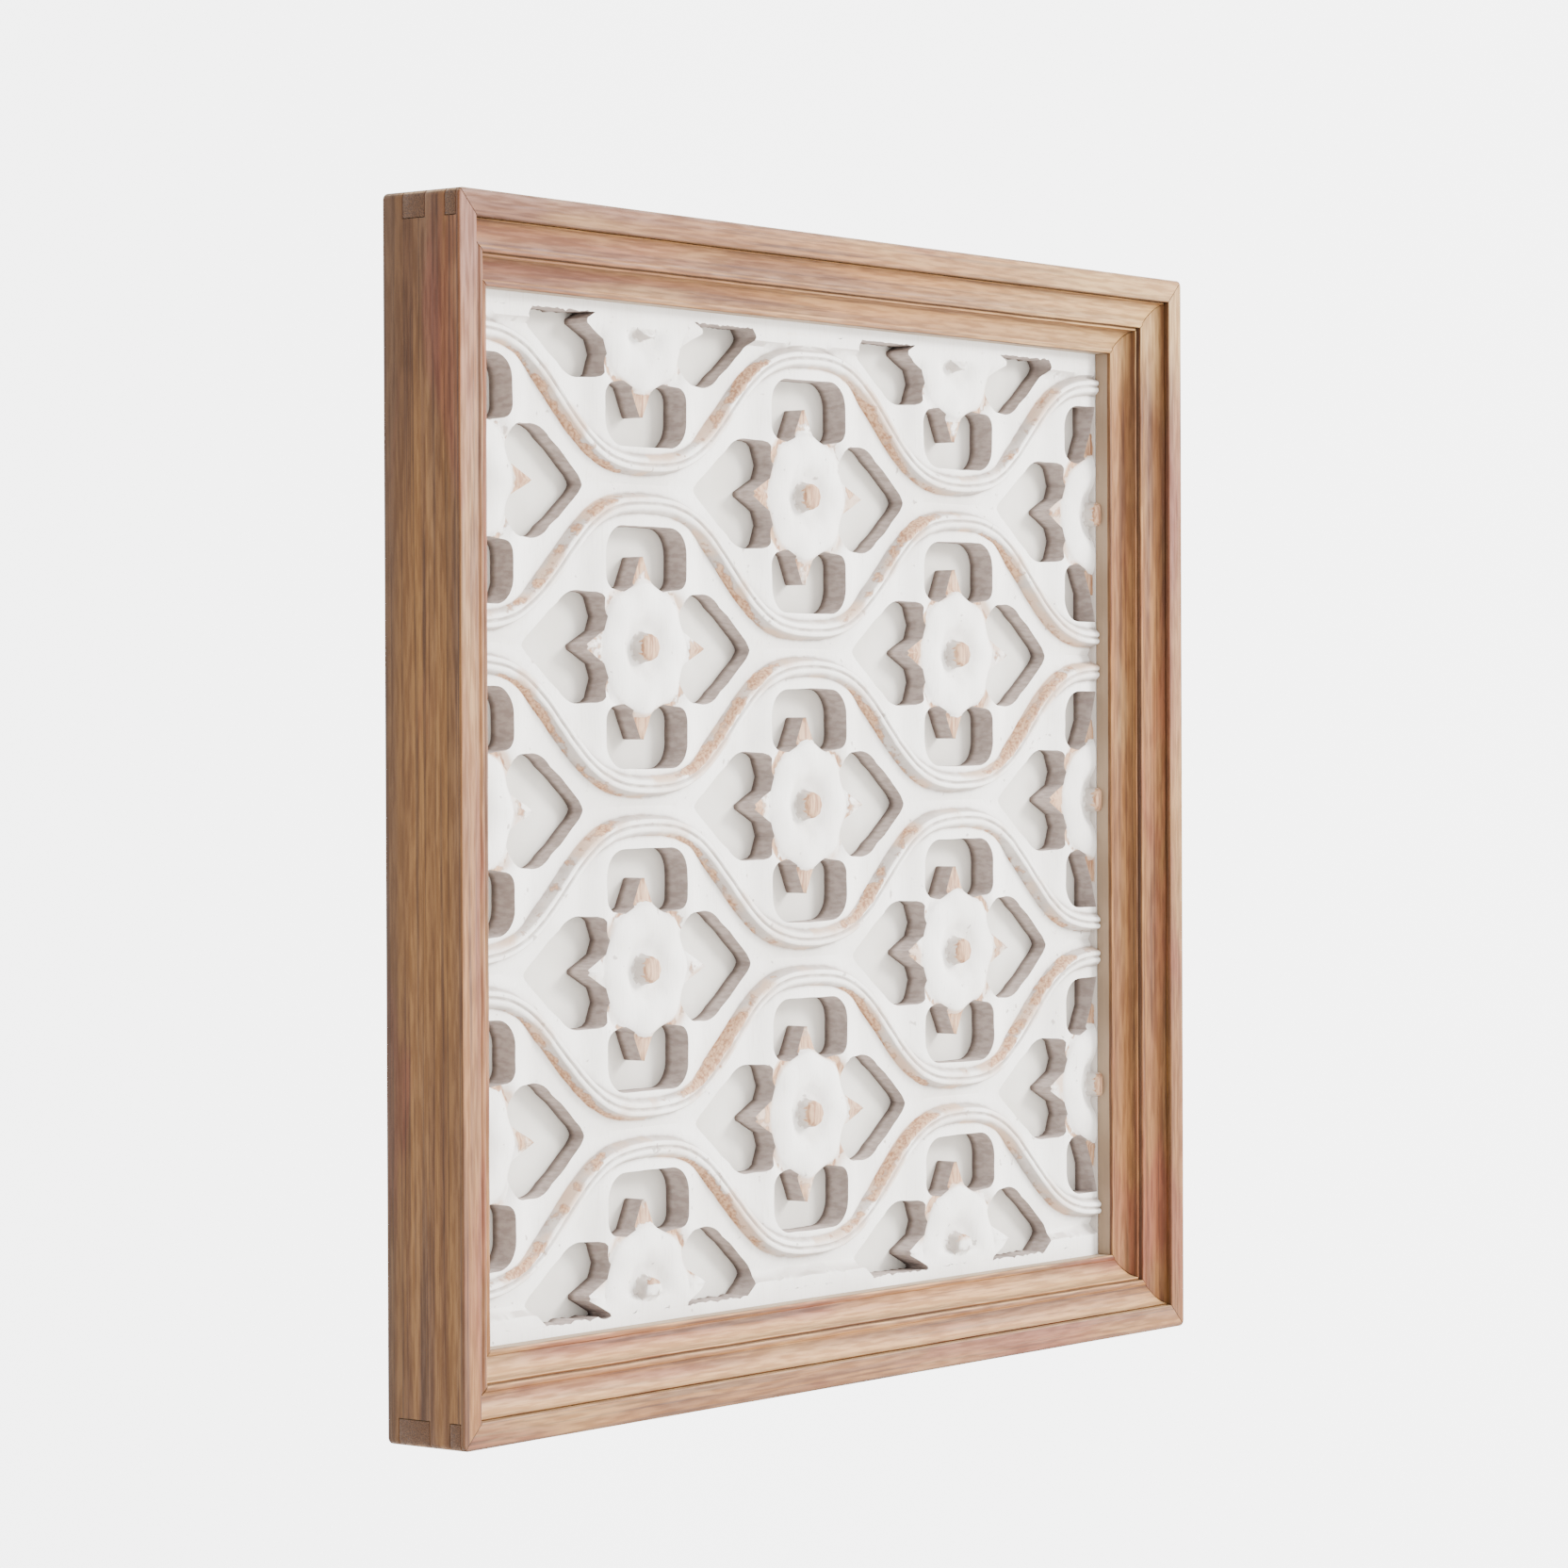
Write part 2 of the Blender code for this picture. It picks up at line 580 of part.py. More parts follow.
def carved_panel(finish):
    """Draws every line of the carving, fills between them, and lifts each point by the relief."""
    window = (CARVED_HALF_WIDTH, -CARVED_HALF_HEIGHT - PATTERN_LIFT, CARVED_HALF_HEIGHT - PATTERN_LIFT)
    centres = flower_centres()
    holes = [
        [(x + cx, z + cz) for x, z in outline] for cx, cz in centres for outline in openings()
    ]
    loops = holes + [
        [(x + cx, z + cz) for x, z in outline] for cx, cz in centres for outline in flower_rings()
    ]
    segments = [pair for loop in loops for pair in zip(loop, loop[1:] + loop[:1])]
    rows = math.ceil(2 * CARVED_HALF_HEIGHT / REPEAT_HEIGHT) + 1
    for row in range(-rows, rows + 1):
        for line in band_lines(row):
            segments += zip(line, line[1:])
    segments = [cut for a, b in segments if (cut := clipped(a, b, *window))]
    edge = rectangle(window[0] + CARVING_EDGE, window[1] - CARVING_EDGE, window[2] + CARVING_EDGE)
    outside = rectangle(INSIDE_WIDTH / 2, -INSIDE_HEIGHT / 2 - PATTERN_LIFT, INSIDE_HEIGHT / 2 - PATTERN_LIFT)
    for outline in (rectangle(*window), edge, outside):
        segments += zip(outline, outline[1:] + outline[:1])

    places = [Vector(point) for pair in segments for point in pair]
    lines = [(2 * n, 2 * n + 1) for n in range(len(segments))]
    points, _, triangles, _, _, _ = delaunay_2d_cdt(places, lines, [], 0, 1e-5)

    def in_window(x, z):
        return abs(x) < window[0] + 1e-5 and window[1] - 1e-5 < z < window[2] + 1e-5

    def solid(triangle):
        middle = sum((points[n] for n in triangle), Vector((0, 0))) / 3
        return not in_window(*middle) or not any(inside(middle, hole) for hole in holes)

    front = [triangle for triangle in triangles if solid(triangle)]
    sides = {}
    for triangle in front:
        for pair in zip(triangle, triangle[1:] + triangle[:1]):
            sides[pair] = True
    rim = [(a, b) for a, b in sides if (b, a) not in sides]
    rim_points = sorted({n for pair in rim for n in pair})
    number = {n: place for place, n in enumerate(rim_points)}
    back_points, _, back, _, _, _ = delaunay_2d_cdt(
        [points[n] for n in rim_points], [(number[a], number[b]) for a, b in rim], [], 0, 1e-7
    )

    bm = bmesh.new()
    top = {}
    for n in sorted({n for triangle in front for n in triangle}):
        x, z = points[n]
        lift = relief(x, z) if in_window(x, z) else 0
        top[n] = bm.verts.new((x, depth(PANEL_FRONT - lift), z))
    bottom = [bm.verts.new((x, depth(PANEL_BACK), z)) for x, z in back_points]
    for triangle in front:
        bm.faces.new([top[n] for n in triangle])
    for triangle in back:
        middle = sum((back_points[n] for n in triangle), Vector((0, 0))) / 3
        if not in_window(*middle) or not any(inside(middle, hole) for hole in holes):
            bm.faces.new([bottom[n] for n in reversed(triangle)])
    for a, b in rim:
        bm.faces.new([top[b], top[a], bottom[number[a]], bottom[number[b]]])
    bmesh.ops.translate(bm, vec=(0, 0, MIDDLE_HEIGHT + PATTERN_LIFT), verts=bm.verts)
    return add_object("carved_panel", bm, finish)


def backing_board(finish):
    bm = bmesh.new()
    add_block(
        bm,
        (-INSIDE_WIDTH / 2, depth(BACKING_FRONT), MIDDLE_HEIGHT - INSIDE_HEIGHT / 2),
        (INSIDE_WIDTH / 2, depth(BACKING_FRONT + BACKING_THICKNESS), MIDDLE_HEIGHT + INSIDE_HEIGHT / 2),
    )
    return add_object("backing_board", bm, finish)


def main():
    clear_scene()
    side_wood = material("oiled_mango_wood_boards", (0.42, 0.27, 0.17), 0.55)
    front_wood = material("limed_mango_wood_moulding", (0.50, 0.33, 0.22), 0.55)
    white = material("whitewashed_carving", (0.78, 0.77, 0.74), 0.85)
    board = material("white_backing", (0.80, 0.79, 0.77), 0.85)
    envelope = frame_envelope()
    boards = [
        rail("frame_board_top", "top", side_wood),
        rail("frame_board_bottom", "bottom", side_wood),
        stile("frame_board_left", -1, side_wood),
        stile("frame_board_right", 1, side_wood),
    ]
    for obj in boards:
        boolean(obj, envelope, "INTERSECT")
    for side in ("top", "bottom", "left", "right"):
        moulding("moulding_" + side, side, front_wood)
    carved_panel(white)
    backing_board(board)


main()
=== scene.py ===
# %% [markdown]
# # A carved and pierced wall panel in a moulded wooden frame
#
# The object is a flat board, carved by hand with flowers in a lattice of wavy bands, cut right through
# between them, and painted with thin whitewash. It sits behind a stepped moulding in a deep box frame of
# mango wood. The solid model comes ready made and fixes every size. This script finishes it: fine
# carving, softer mouldings, wood and paint. The first step loads the solid model and keeps its box.

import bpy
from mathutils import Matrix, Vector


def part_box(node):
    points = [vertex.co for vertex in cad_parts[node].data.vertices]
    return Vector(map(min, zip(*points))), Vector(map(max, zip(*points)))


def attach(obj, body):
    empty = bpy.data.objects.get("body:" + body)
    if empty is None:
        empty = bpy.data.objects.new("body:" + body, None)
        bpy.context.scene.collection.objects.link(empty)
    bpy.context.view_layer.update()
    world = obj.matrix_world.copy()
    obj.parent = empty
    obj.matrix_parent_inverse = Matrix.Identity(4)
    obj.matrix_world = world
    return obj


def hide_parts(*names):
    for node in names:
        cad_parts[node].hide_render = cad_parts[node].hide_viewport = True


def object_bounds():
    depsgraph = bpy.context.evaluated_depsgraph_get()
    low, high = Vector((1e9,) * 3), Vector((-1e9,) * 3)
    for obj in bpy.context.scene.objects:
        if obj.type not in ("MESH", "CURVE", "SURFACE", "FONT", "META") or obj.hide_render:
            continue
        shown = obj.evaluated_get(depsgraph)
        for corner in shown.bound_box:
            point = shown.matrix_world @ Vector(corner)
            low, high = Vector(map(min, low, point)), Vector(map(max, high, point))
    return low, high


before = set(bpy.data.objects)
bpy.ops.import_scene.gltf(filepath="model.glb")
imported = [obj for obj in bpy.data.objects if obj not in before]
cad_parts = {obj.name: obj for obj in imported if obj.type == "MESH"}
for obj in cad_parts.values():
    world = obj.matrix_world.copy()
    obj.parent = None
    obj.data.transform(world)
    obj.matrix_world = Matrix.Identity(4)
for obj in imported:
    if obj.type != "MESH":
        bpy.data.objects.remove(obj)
cad_low, cad_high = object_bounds()
print("solid model, mm:", [round(1000 * side) for side in cad_high - cad_low])

# %% Modules that the later cells use
import math

import bmesh
import bpy
from mathutils import Vector, noise
from mathutils.geometry import delaunay_2d_cdt
from mathutils.kdtree import KDTree

MM = 0.001
print("Blender version:", bpy.app.version_string)

# %% [markdown]
# ## The camera
#
# The four corners of the frame and the lines of the moulding give the place, the turn and the lens, so
# the render lines up with the photograph. A long lens from about two and a half metres keeps the lines
# nearly parallel.

# %% Camera
camera = bpy.data.objects.new("camera", bpy.data.cameras.new("camera"))
camera.data.lens = 112.5
camera.data.sensor_width = 36
camera.location = (-1.9731, -1.5179, -0.2461)
camera.rotation_euler = [math.radians(angle) for angle in (89.502, 0.214, -52.445)]
bpy.context.scene.collection.objects.link(camera)
bpy.context.scene.camera = camera
print("camera to panel, m:", round((camera.location - (cad_low + cad_high) / 2).length, 2))

# %% [markdown]
# ## Two helpers for finishes
#
# Every finish here is a small tree of nodes. Painters' colours are written as sRGB hex values, which one
# function turns to the linear light that Blender works in. Another adds one node with its settings and
# its links and gives its output back, so that a finish reads from top to bottom like a recipe. A mix
# lays the colour in socket 7 over the one in socket 6, by the share in socket 0, and a range turns the
# numbers between sockets 1 and 2 into those between sockets 3 and 4, which start as 0 and 1. Nodes that
# come back often have short names, and SOFT and OVER are the settings that most ranges and mixes share.

# %% Colour and node helpers
def colour(code):
    """An sRGB hex colour as linear RGBA."""
    parts = [int(code[n:n + 2], 16) / 255 for n in (0, 2, 4)]
    return [part / 12.92 if part <= 0.04045 else ((part + 0.055) / 1.055) ** 2.4 for part in parts] + [1]


def add(tree, kind, sockets, give=0, **settings):
    """One node with its settings and links. A socket takes a number, a colour or another node's output."""
    made = tree.nodes.new(kind)
    for name, value in settings.items():
        setattr(made, name, value)
    for name, value in sockets.items():
        if isinstance(value, bpy.types.NodeSocket):
            tree.links.new(value, made.inputs[name])
        else:
            made.inputs[name].default_value = value
    return made.outputs[give]


def new_finish(name):
    """An empty finish and its shader."""
    material = bpy.data.materials.new(name)
    material.use_nodes = True
    return material, material.node_tree, material.node_tree.nodes["Principled BSDF"]


NOISE, MIX, RANGE, MATH = "ShaderNodeTexNoise", "ShaderNodeMix", "ShaderNodeMapRange", "ShaderNodeMath"
STRETCH, SPLIT, MARK = "ShaderNodeMapping", "ShaderNodeSeparateXYZ", "ShaderNodeAttribute"
SOFT = {"interpolation_type": "SMOOTHSTEP"}
OVER = {"give": 2, "data_type": "RGBA"}
print("mid grey in linear light:", round(colour("808080")[0], 3))

# %% [markdown]
# ## Sizes of the carving
#
# The lattice repeats every 130 mm across and 156 mm up, and every other row is moved along by half a
# repeat. Each cell between two bands holds one flower, with two arched openings above and below it and
# two pointed ones beside it. The numbers are the same as in the solid model, in millimetres from the
# middle of a cell, so that the fine carving lies exactly over the plain one. A band reaches 6.3 mm to
# either side of its middle line, and a boss is bare wood for 6.5 mm from its own.

# %% Named sizes, in mm
REPEAT_WIDTH = 130.0
REPEAT_HEIGHT = 156.0
PATTERN_LIFT = 4.0
FLOWER_DROP = 1.2
NECK_HEIGHT = 18.5
CREST_FULLNESS = 0.085
PANEL_THICKNESS = 14.5
FLOWER_RADIUS = 31.5
SEPAL_REACH = 44.0
SEPAL_TIP_WIDTH = 2.4
FIELD_SINK = 5.4
BAND_RISE = 2.5
BAND_REACH = 6.3
FALL_START = 30.0
FALL_RUN = 20.0
FIELD_CREASE = 0.4
PETAL_RISE = 0.35
BOSS_REACH = 6.5
END_MARGIN = 5.5
SIDE_MARGIN = 0.3

panel_low, panel_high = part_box("carved_panel")
SIGHT_X = 1000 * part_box("moulding_right")[0].x
SIGHT_Z = SIGHT_X - 1000 * (cad_high.x - cad_low.x) / 2 + 1000 * (cad_high.z - cad_low.z) / 2
FIELD_Y = panel_high.y - PANEL_THICKNESS * MM
MIDDLE_Z = (panel_low.z + panel_high.z) / 2 + PATTERN_LIFT * MM
print("carved face, mm:", round(2 * SIGHT_X), "x", round(2 * SIGHT_Z))

# %% [markdown]
# ## Lines of the pattern
#
# A carver first draws the pattern and then cuts it, and the mesh is made in the same order. The bands
# follow a wave that is a little fuller than a sine at its crests. The openings are drawn with arcs and
# short straight cuts, as a fret saw leaves them.

# %% The wave of the bands
SWING = REPEAT_HEIGHT / 4 - NECK_HEIGHT / 2


def wave(x):
    """Height of a band's middle line above the middle of the cell below it."""
    turn = math.pi * x / REPEAT_WIDTH
    shape = (1 + CREST_FULLNESS) * math.cos(turn) - CREST_FULLNESS * math.cos(3 * turn)
    return REPEAT_HEIGHT / 4 + SWING * shape


def wave_slope(x):
    turn = math.pi * x / REPEAT_WIDTH
    shape = 3 * CREST_FULLNESS * math.sin(3 * turn) - (1 + CREST_FULLNESS) * math.sin(turn)
    return SWING * math.pi / REPEAT_WIDTH * shape


def beside_wave(x, offset):
    """A point beside the middle line, at right angles to it."""
    slope = wave_slope(x)
    length = math.hypot(1, slope)
    return (x + offset * slope / length, wave(x) - offset / length)


print("band rises and falls, mm:", round(wave(0), 1), round(wave(REPEAT_WIDTH), 1))

# %% The openings and the rim of a flower
RIM_ANGLES = [0, 5, 10, 15, 19.7, 24.3, 29, 33, 37, 41, 45, 49, 53, 57, 61, 65.7, 70.3, 75, 80, 85]


def rim_radius(angle):
    return FLOWER_RADIUS * (1 + 0.025 * math.cos(math.radians(8 * angle)))


def polar(radius, angle):
    return (radius * math.cos(math.radians(angle)), radius * math.sin(math.radians(angle)))


def rim(angles):
    return [polar(rim_radius(angle), angle) for angle in angles]


def arc(centre, radius, start, end, steps):
    turns = [start + (end - start) * n / steps for n in range(steps + 1)]
    return [(centre[0] + polar(radius, t)[0], centre[1] + polar(radius, t)[1]) for t in turns]


def arch_opening():
    """The opening above a flower, drawn as the solid model has it, with rounder corners."""
    right = arc((24, 35.3), 7, -90, 0, 6) + [(31, 40.5)] + arc((18, 45.8), 13, 0, 90, 9)
    outer = right + [(7, 58.9), (0, 59)] + [(-x, z) for x, z in reversed(right + [(7, 58.9)])]
    tip = SEPAL_TIP_WIDTH / 2
    leaf = [(-tip, SEPAL_REACH), (0, SEPAL_REACH + 0.4), (tip, SEPAL_REACH)]
    return outer + rim([119, 114.3, 109.7, 105]) + leaf + rim([75, 70.3, 65.7, 61])


def spade_opening():
    """The opening on the right of a flower."""
    upper = [(30.8, 24.2), (33.4, 26), (36.8, 26.8), (41, 26.9)]
    upper += arc((48, 8.3), 19, 98, 42, 7) + [(69, 16.6), (77, 10), (84.2, 4.3), (86.6, 1.6)]
    outer = upper + [(87.3, 0)] + [(x, -z) for x, z in reversed(upper)]
    tip = SEPAL_TIP_WIDTH / 2
    leaf = [(SEPAL_REACH, -tip), (SEPAL_REACH + 0.4, 0), (SEPAL_REACH, tip)]
    return outer + rim([-29, -24.3, -19.7, -15]) + leaf + rim([15, 19.7, 24.3, 29])


def evenly(points, spacing):
    """The same closed outline with extra points, so that no step is longer than the spacing."""
    made = []
    for a, b in zip(points, points[1:] + points[:1]):
        steps = max(1, round(math.dist(a, b) / spacing))
        made += [(a[0] + (b[0] - a[0]) * n / steps, a[1] + (b[1] - a[1]) * n / steps) for n in range(steps)]
    return made


def dropped(points):
    """A flower sits a little under the middle of its cell."""
    return [(x, z - FLOWER_DROP) for x, z in points]


arch, spade = evenly(arch_opening(), 2.0), evenly(spade_opening(), 2.0)
OPENINGS = [
    dropped(arch),
    dropped([(x, -z) for x, z in arch]),
    dropped(spade),
    dropped([(-x, z) for x, z in spade]),
]
print("points round the openings:", sum(len(outline) for outline in OPENINGS))

# %% [markdown]
# ## Height of the carving
#
# Every point of the face gets its height from one function, which is the quickest way to keep hundreds of
# small slopes in step. A flower is turned like a shallow dish: a round boss, a hollow about it, a ring of
# petals and a thin rim. The bands are two ribs with a fine groove between them. The ground between them
# sinks towards the necks of the lattice, where it meets in a soft crease.

# %% Helpers for heights
def smooth(low, high, share):
    """From low to high as the share goes from 0 to 1, level at both ends."""
    share = min(max(share, 0), 1)
    return low + (high - low) * share * share * (3 - 2 * share)


def read_off(section, place):
    """The value at a place on a section's straight lines."""
    for (a, first), (b, second) in zip(section, section[1:]):
        if place <= b:
            return first + (second - first) * max(place - a, 0) / (b - a)
    return section[-1][1]


print("a third of the way up a soft step:", round(smooth(0, 1, 1 / 3), 2))

# %% Sections of the flower and of the band
# Pairs of a place in mm, from the middle of the flower or of the band, and the value there. Heights are in
# mm. Wear and the darkening are shares. The darkening is painted shade with some dirt, in the hollow round
# the boss, at the rim, in the band's groove and at the foot of its slopes. A wear over 1 is bare even where
# the noise leaves paint elsewhere. The sides of the bands that face left are rubbed the most.
BOSS_AND_DISH = [
    (0, 4.0), (2.5, 3.95), (4.9, 3.7), (5.9, 3.1), (6.4, 2.2), (6.7, 0.2), (7.0, -3.4), (8, -4.2), (10, -4.2),
    (12, -3.4), (14, -2.1), (16, -0.9), (18.5, -0.1), (21.5, 0.3), (25, 0.1), (28, -0.5), (30, -1.1),
    (31.5, -1.7),
]
DISH_SHADE_AND_DIRT = [
    (0, 0), (5.9, 0.1), (6.7, 0.6), (7.3, 0.5), (8.5, 0.15), (12, 0.05), (16, 0), (29.5, 0), (31.5, 0.35),
]
BAND_LINES = [0, 0.45, 1.0, 1.8, 2.6, 3.3, 4.2, 5.1, 6.3]
SHADED_UPPER = [(0, 0.4), (1.0, 0.5), (3.4, 0.6), (4.1, 1.1), (4.7, 1.4), (5.5, 1.2), (5.9, 0.3), (6.3, 0)]
SHADED_LOWER = [(0, 0.4), (1.6, 0.8), (2.6, 1.15), (4.2, 1.2), (5.2, 0.7), (6.3, 0)]
LIT_SIDE = [(0, 0.3), (1.0, 0.5), (2.6, 0.4), (3.3, 0.2), (5.1, 0.1), (6.3, 0)]
BAND_SHADE_AND_DIRT = [
    (0, 0.8), (0.45, 0.6), (1.0, 0.05), (2.6, 0), (3.3, 0.35), (4.2, 0.55), (5.1, 0.75), (6.3, 0.1), (8, 0),
]


def band_section(ground):
    crown = BAND_RISE
    return [
        (0, crown - 1.0), (0.45, crown - 0.6), (1.0, crown - 0.05), (1.8, crown + 0.1), (2.6, crown - 0.1),
        (3.3, crown - 0.75), (4.2, smooth(ground, crown, 0.42)), (5.1, ground - 0.5), (6.3, ground),
    ]


def leaf_share(x, z):
    """0 on the middle line of a leaf under the rim, 1 at its edge, and over 1 outside it."""
    out, side = max(abs(x), abs(z)), min(abs(x), abs(z))
    base, width = rim([15])[0]
    run = (SEPAL_REACH - out) / (SEPAL_REACH - base)
    edge = SEPAL_TIP_WIDTH / 2 + (width - SEPAL_TIP_WIDTH / 2) * run
    return side / edge if out <= SEPAL_REACH + 0.5 and edge > 0 else 2


def relief(x, z):
    """At a point of a cell: height over the panel's face, how bare it is rubbed and how dark it is painted,
    as shade and dirt.
    """
    fz = z + FLOWER_DROP
    reach, angle = math.hypot(x, fz), math.degrees(math.atan2(fz, x))

    # The ground falls away beside the flower and is deepest along its crease.
    fall = smooth(0, FIELD_SINK, (abs(x) - FALL_START) / FALL_RUN)
    lift = wave(x)
    ground = -fall * (1 - FIELD_CREASE * min(abs(z) / max(lift - 5, 1), 1))

    # The flower's disc with its petals, then the leaves that stick out under its rim.
    share = reach * FLOWER_RADIUS / rim_radius(angle)
    if share < FLOWER_RADIUS + 0.02:
        petals = PETAL_RISE * math.cos(math.radians(8 * angle)) * smooth(0, 1, (share - 17) / 10)
        bare = 2.2 if share < BOSS_REACH else smooth(0, 0.45, (share - 29.8) / 1.6)
        return read_off(BOSS_AND_DISH, share) + petals, bare, read_off(DISH_SHADE_AND_DIRT, share)
    leaf = leaf_share(x, fz)
    if leaf <= 1.02:
        if abs(x) > abs(fz):
            return -1.9 + 1.4 * (1 - leaf) + 0.4 * smooth(0, 1, (abs(x) - 34) / 9), 1.1, 0.1
        return -3.4 + 1.0 * (1 - leaf), 1.4, 0.1

    # The ground near the rim lies lower, is rubbed and gets a little painted shade. The bands are worn most
    # where they run steeply.
    away = (lift - abs(z)) / math.hypot(1, wave_slope(x))
    if away > BAND_REACH and reach < 42:
        near_rim = (reach - 33) / 8
        return smooth(-2.6, ground, near_rim), smooth(1.3, 0, near_rim), smooth(0.2, 0, near_rim)
    worn = read_off(LIT_SIDE if x < 0 else (SHADED_UPPER if z > 0 else SHADED_LOWER), away)
    worn *= smooth(0.45, 1, 1.6 * abs(math.sin(math.pi * x / REPEAT_WIDTH)) - 0.4)
    return read_off(band_section(ground), away), worn, read_off(BAND_SHADE_AND_DIRT, away)


heights = [round(relief(radius, -FLOWER_DROP)[0], 1) for radius in (0, 9, 21, 31)]
print("heights at boss, dish, petal, rim, mm:", heights)

# %% [markdown]
# ## One cell of the fret
#
# One cell of the lattice is drawn flat. No operator fills between curved lines with even triangles, so
# Blender's Delaunay function does: it takes the lines and a scatter of points and joins them up. The
# triangles inside the openings are then dropped, and each point is lifted to its height.

# %% Lines of one cell
def cell_lines():
    """Open and closed lines of a whole cell, in mm."""
    steps = 144
    places = [REPEAT_WIDTH * (2 * n / steps - 1) for n in range(steps + 1)]
    lines = []
    for offset in BAND_LINES:
        upper = [beside_wave(x, offset) for x in places]
        upper = [(min(max(x, -REPEAT_WIDTH), REPEAT_WIDTH), z) for x, z in upper]
        lines += [upper, [(x, -z) for x, z in upper]]
    neck = NECK_HEIGHT / 2
    for side in (-REPEAT_WIDTH, REPEAT_WIDTH):
        lines.append([(side, neck * n / 5) for n in range(-5, 6)])
        crease = 0.685 * side
        lines.append([(crease + (side - crease) * n / 18, 0) for n in range(19)])
    lines += [outline + outline[:1] for outline in OPENINGS]
    every = [quarter + angle for quarter in (0, 90, 180, 270) for angle in RIM_ANGLES]
    closed = every + every[:1]
    lines.append(dropped(rim(closed)))
    for radius in (30, 28, 25, 21.5):
        share = radius / FLOWER_RADIUS
        lines.append(dropped([(x * share, z * share) for x, z in rim(closed)]))
    for radius in (18.5, 16, 14):
        lines.append(dropped([polar(radius, 6 * n) for n in range(61)]))
    for radius in (12, 10, 8, 7.0, 6.7, 6.4, 5.9, 4.9, 2.5):
        lines.append(dropped([polar(radius, 10 * n) for n in range(37)]))
    for angle in (0, 90, 180, 270):
        ridge = [polar(FLOWER_RADIUS * 1.025 + (SEPAL_REACH - 31.9) * n / 6, angle) for n in range(7)]
        lines.append(dropped(ridge))
    return lines


def inside(point, outline):
    x, z = point
    found = False
    for (ax, az), (bx, bz) in zip(outline, outline[1:] + outline[:1]):
        if (az > z) != (bz > z) and x < ax + (bx - ax) * (z - az) / (bz - az):
            found = not found
    return found


lines = cell_lines()
drawn = [point for line in lines for point in line]
print("lines in a cell:", len(lines), "with", len(drawn), "points")

# %% Even points between the lines
SPACING = 2.9
CLEAR = 1.4
near = KDTree(len(drawn))
for n, (x, z) in enumerate(drawn):
    near.insert((x, z, 0), n)
near.balance()
scatter = []
for row in range(-28, 29):
    for column in range(-46, 47):
        x, z = SPACING * (column + (row % 2) / 2), SPACING * 0.866 * row
        if abs(x) < REPEAT_WIDTH - 1 and abs(z) < wave(x) - 7 and near.find((x, z, 0))[2] > CLEAR:
            if not any(inside((x, z), outline) for outline in OPENINGS):
                scatter.append((x, z))
print("points between the lines:", len(scatter))

# %% The cell as a mesh
points = [Vector(point) for point in drawn + scatter]
joins = []
start = 0
for line in lines:
    joins += [(start + n, start + n + 1) for n in range(len(line) - 1)]
    start += len(line)
flat, _, triangles, _, _, _ = delaunay_2d_cdt(points, joins, [], 0, 1e-4)

cell = bmesh.new()
bare_layer = cell.verts.layers.float.new("bare")
shade_dirt_layer = cell.verts.layers.float.new("shade_and_dirt")
corners = {}
for triangle in triangles:
    middle = sum((flat[n] for n in triangle), Vector((0, 0))) / 3
    if abs(middle.x) > REPEAT_WIDTH or abs(middle.y) > wave(middle.x):
        continue
    if any(inside(middle, outline) for outline in OPENINGS):
        continue
    for n in triangle:
        if n not in corners:
            height, bare, shade_and_dirt = relief(*flat[n])
            corners[n] = cell.verts.new((flat[n].x, -height, flat[n].y))
            corners[n][bare_layer], corners[n][shade_dirt_layer] = bare, shade_and_dirt
    cell.faces.new([corners[n] for n in triangle])
cell.normal_update()
print("one cell:", len(cell.faces), "triangles")

# %% [markdown]
# ## The whole fret
#
# The cell is copied over the lattice with the duplicate operator and the seams are merged. Real carving
# is never exact, so two soft noises then move the lines by about half a millimetre and leave shallow
# chisel facets. Bisect cuts trim the sheet just inside the moulding. Towards the top and bottom the relief
# settles to nothing, and the paint there is whole. The open edges are pulled outwards for a border that
# runs under the moulding, and the edges of the openings straight back for the sawn walls.

# %% Copies over the lattice
source = list(cell.verts) + list(cell.edges) + list(cell.faces)
cell_places = [
    (column * REPEAT_WIDTH, row * REPEAT_HEIGHT / 2)
    for row in range(-4, 4)
    for column in range(-2, 3)
    if (row + column) % 2 == 0
]
for x, z in cell_places:
    copy = bmesh.ops.duplicate(cell, geom=source)["geom"]
    moved = [item for item in copy if isinstance(item, bmesh.types.BMVert)]
    bmesh.ops.translate(cell, vec=(x, 0, z), verts=moved)
drawing = [item for item in source if isinstance(item, bmesh.types.BMVert)]
bmesh.ops.delete(cell, geom=drawing, context="VERTS")
bmesh.ops.remove_doubles(cell, verts=cell.verts, dist=0.02)
print("cells:", len(cell_places), "faces:", len(cell.faces))

# %% The unevenness of hand work
# The noise starts from the clock unless it gets a seed, and each run would carve another panel.
SEED = 7
noise.seed_set(SEED)
DRIFT = ((0.45, 30), (0.14, 6))
FACETS = ((0.18, 9), (0.04, 3.5))


def wander(place, steps, seed):
    """Sum of soft noises, each given by its height and its width in mm."""
    shift = Vector((seed, 0, 0))
    return sum((noise.noise_vector(place / width + shift) * height for height, width in steps), Vector())


for vert in cell.verts:
    drift, facet = wander(vert.co, DRIFT, 3), wander(vert.co, FACETS, 11)
    vert.co += Vector((drift.x, facet.y, drift.z))
print("largest drift of a line, mm:", sum(height for height, width in DRIFT))

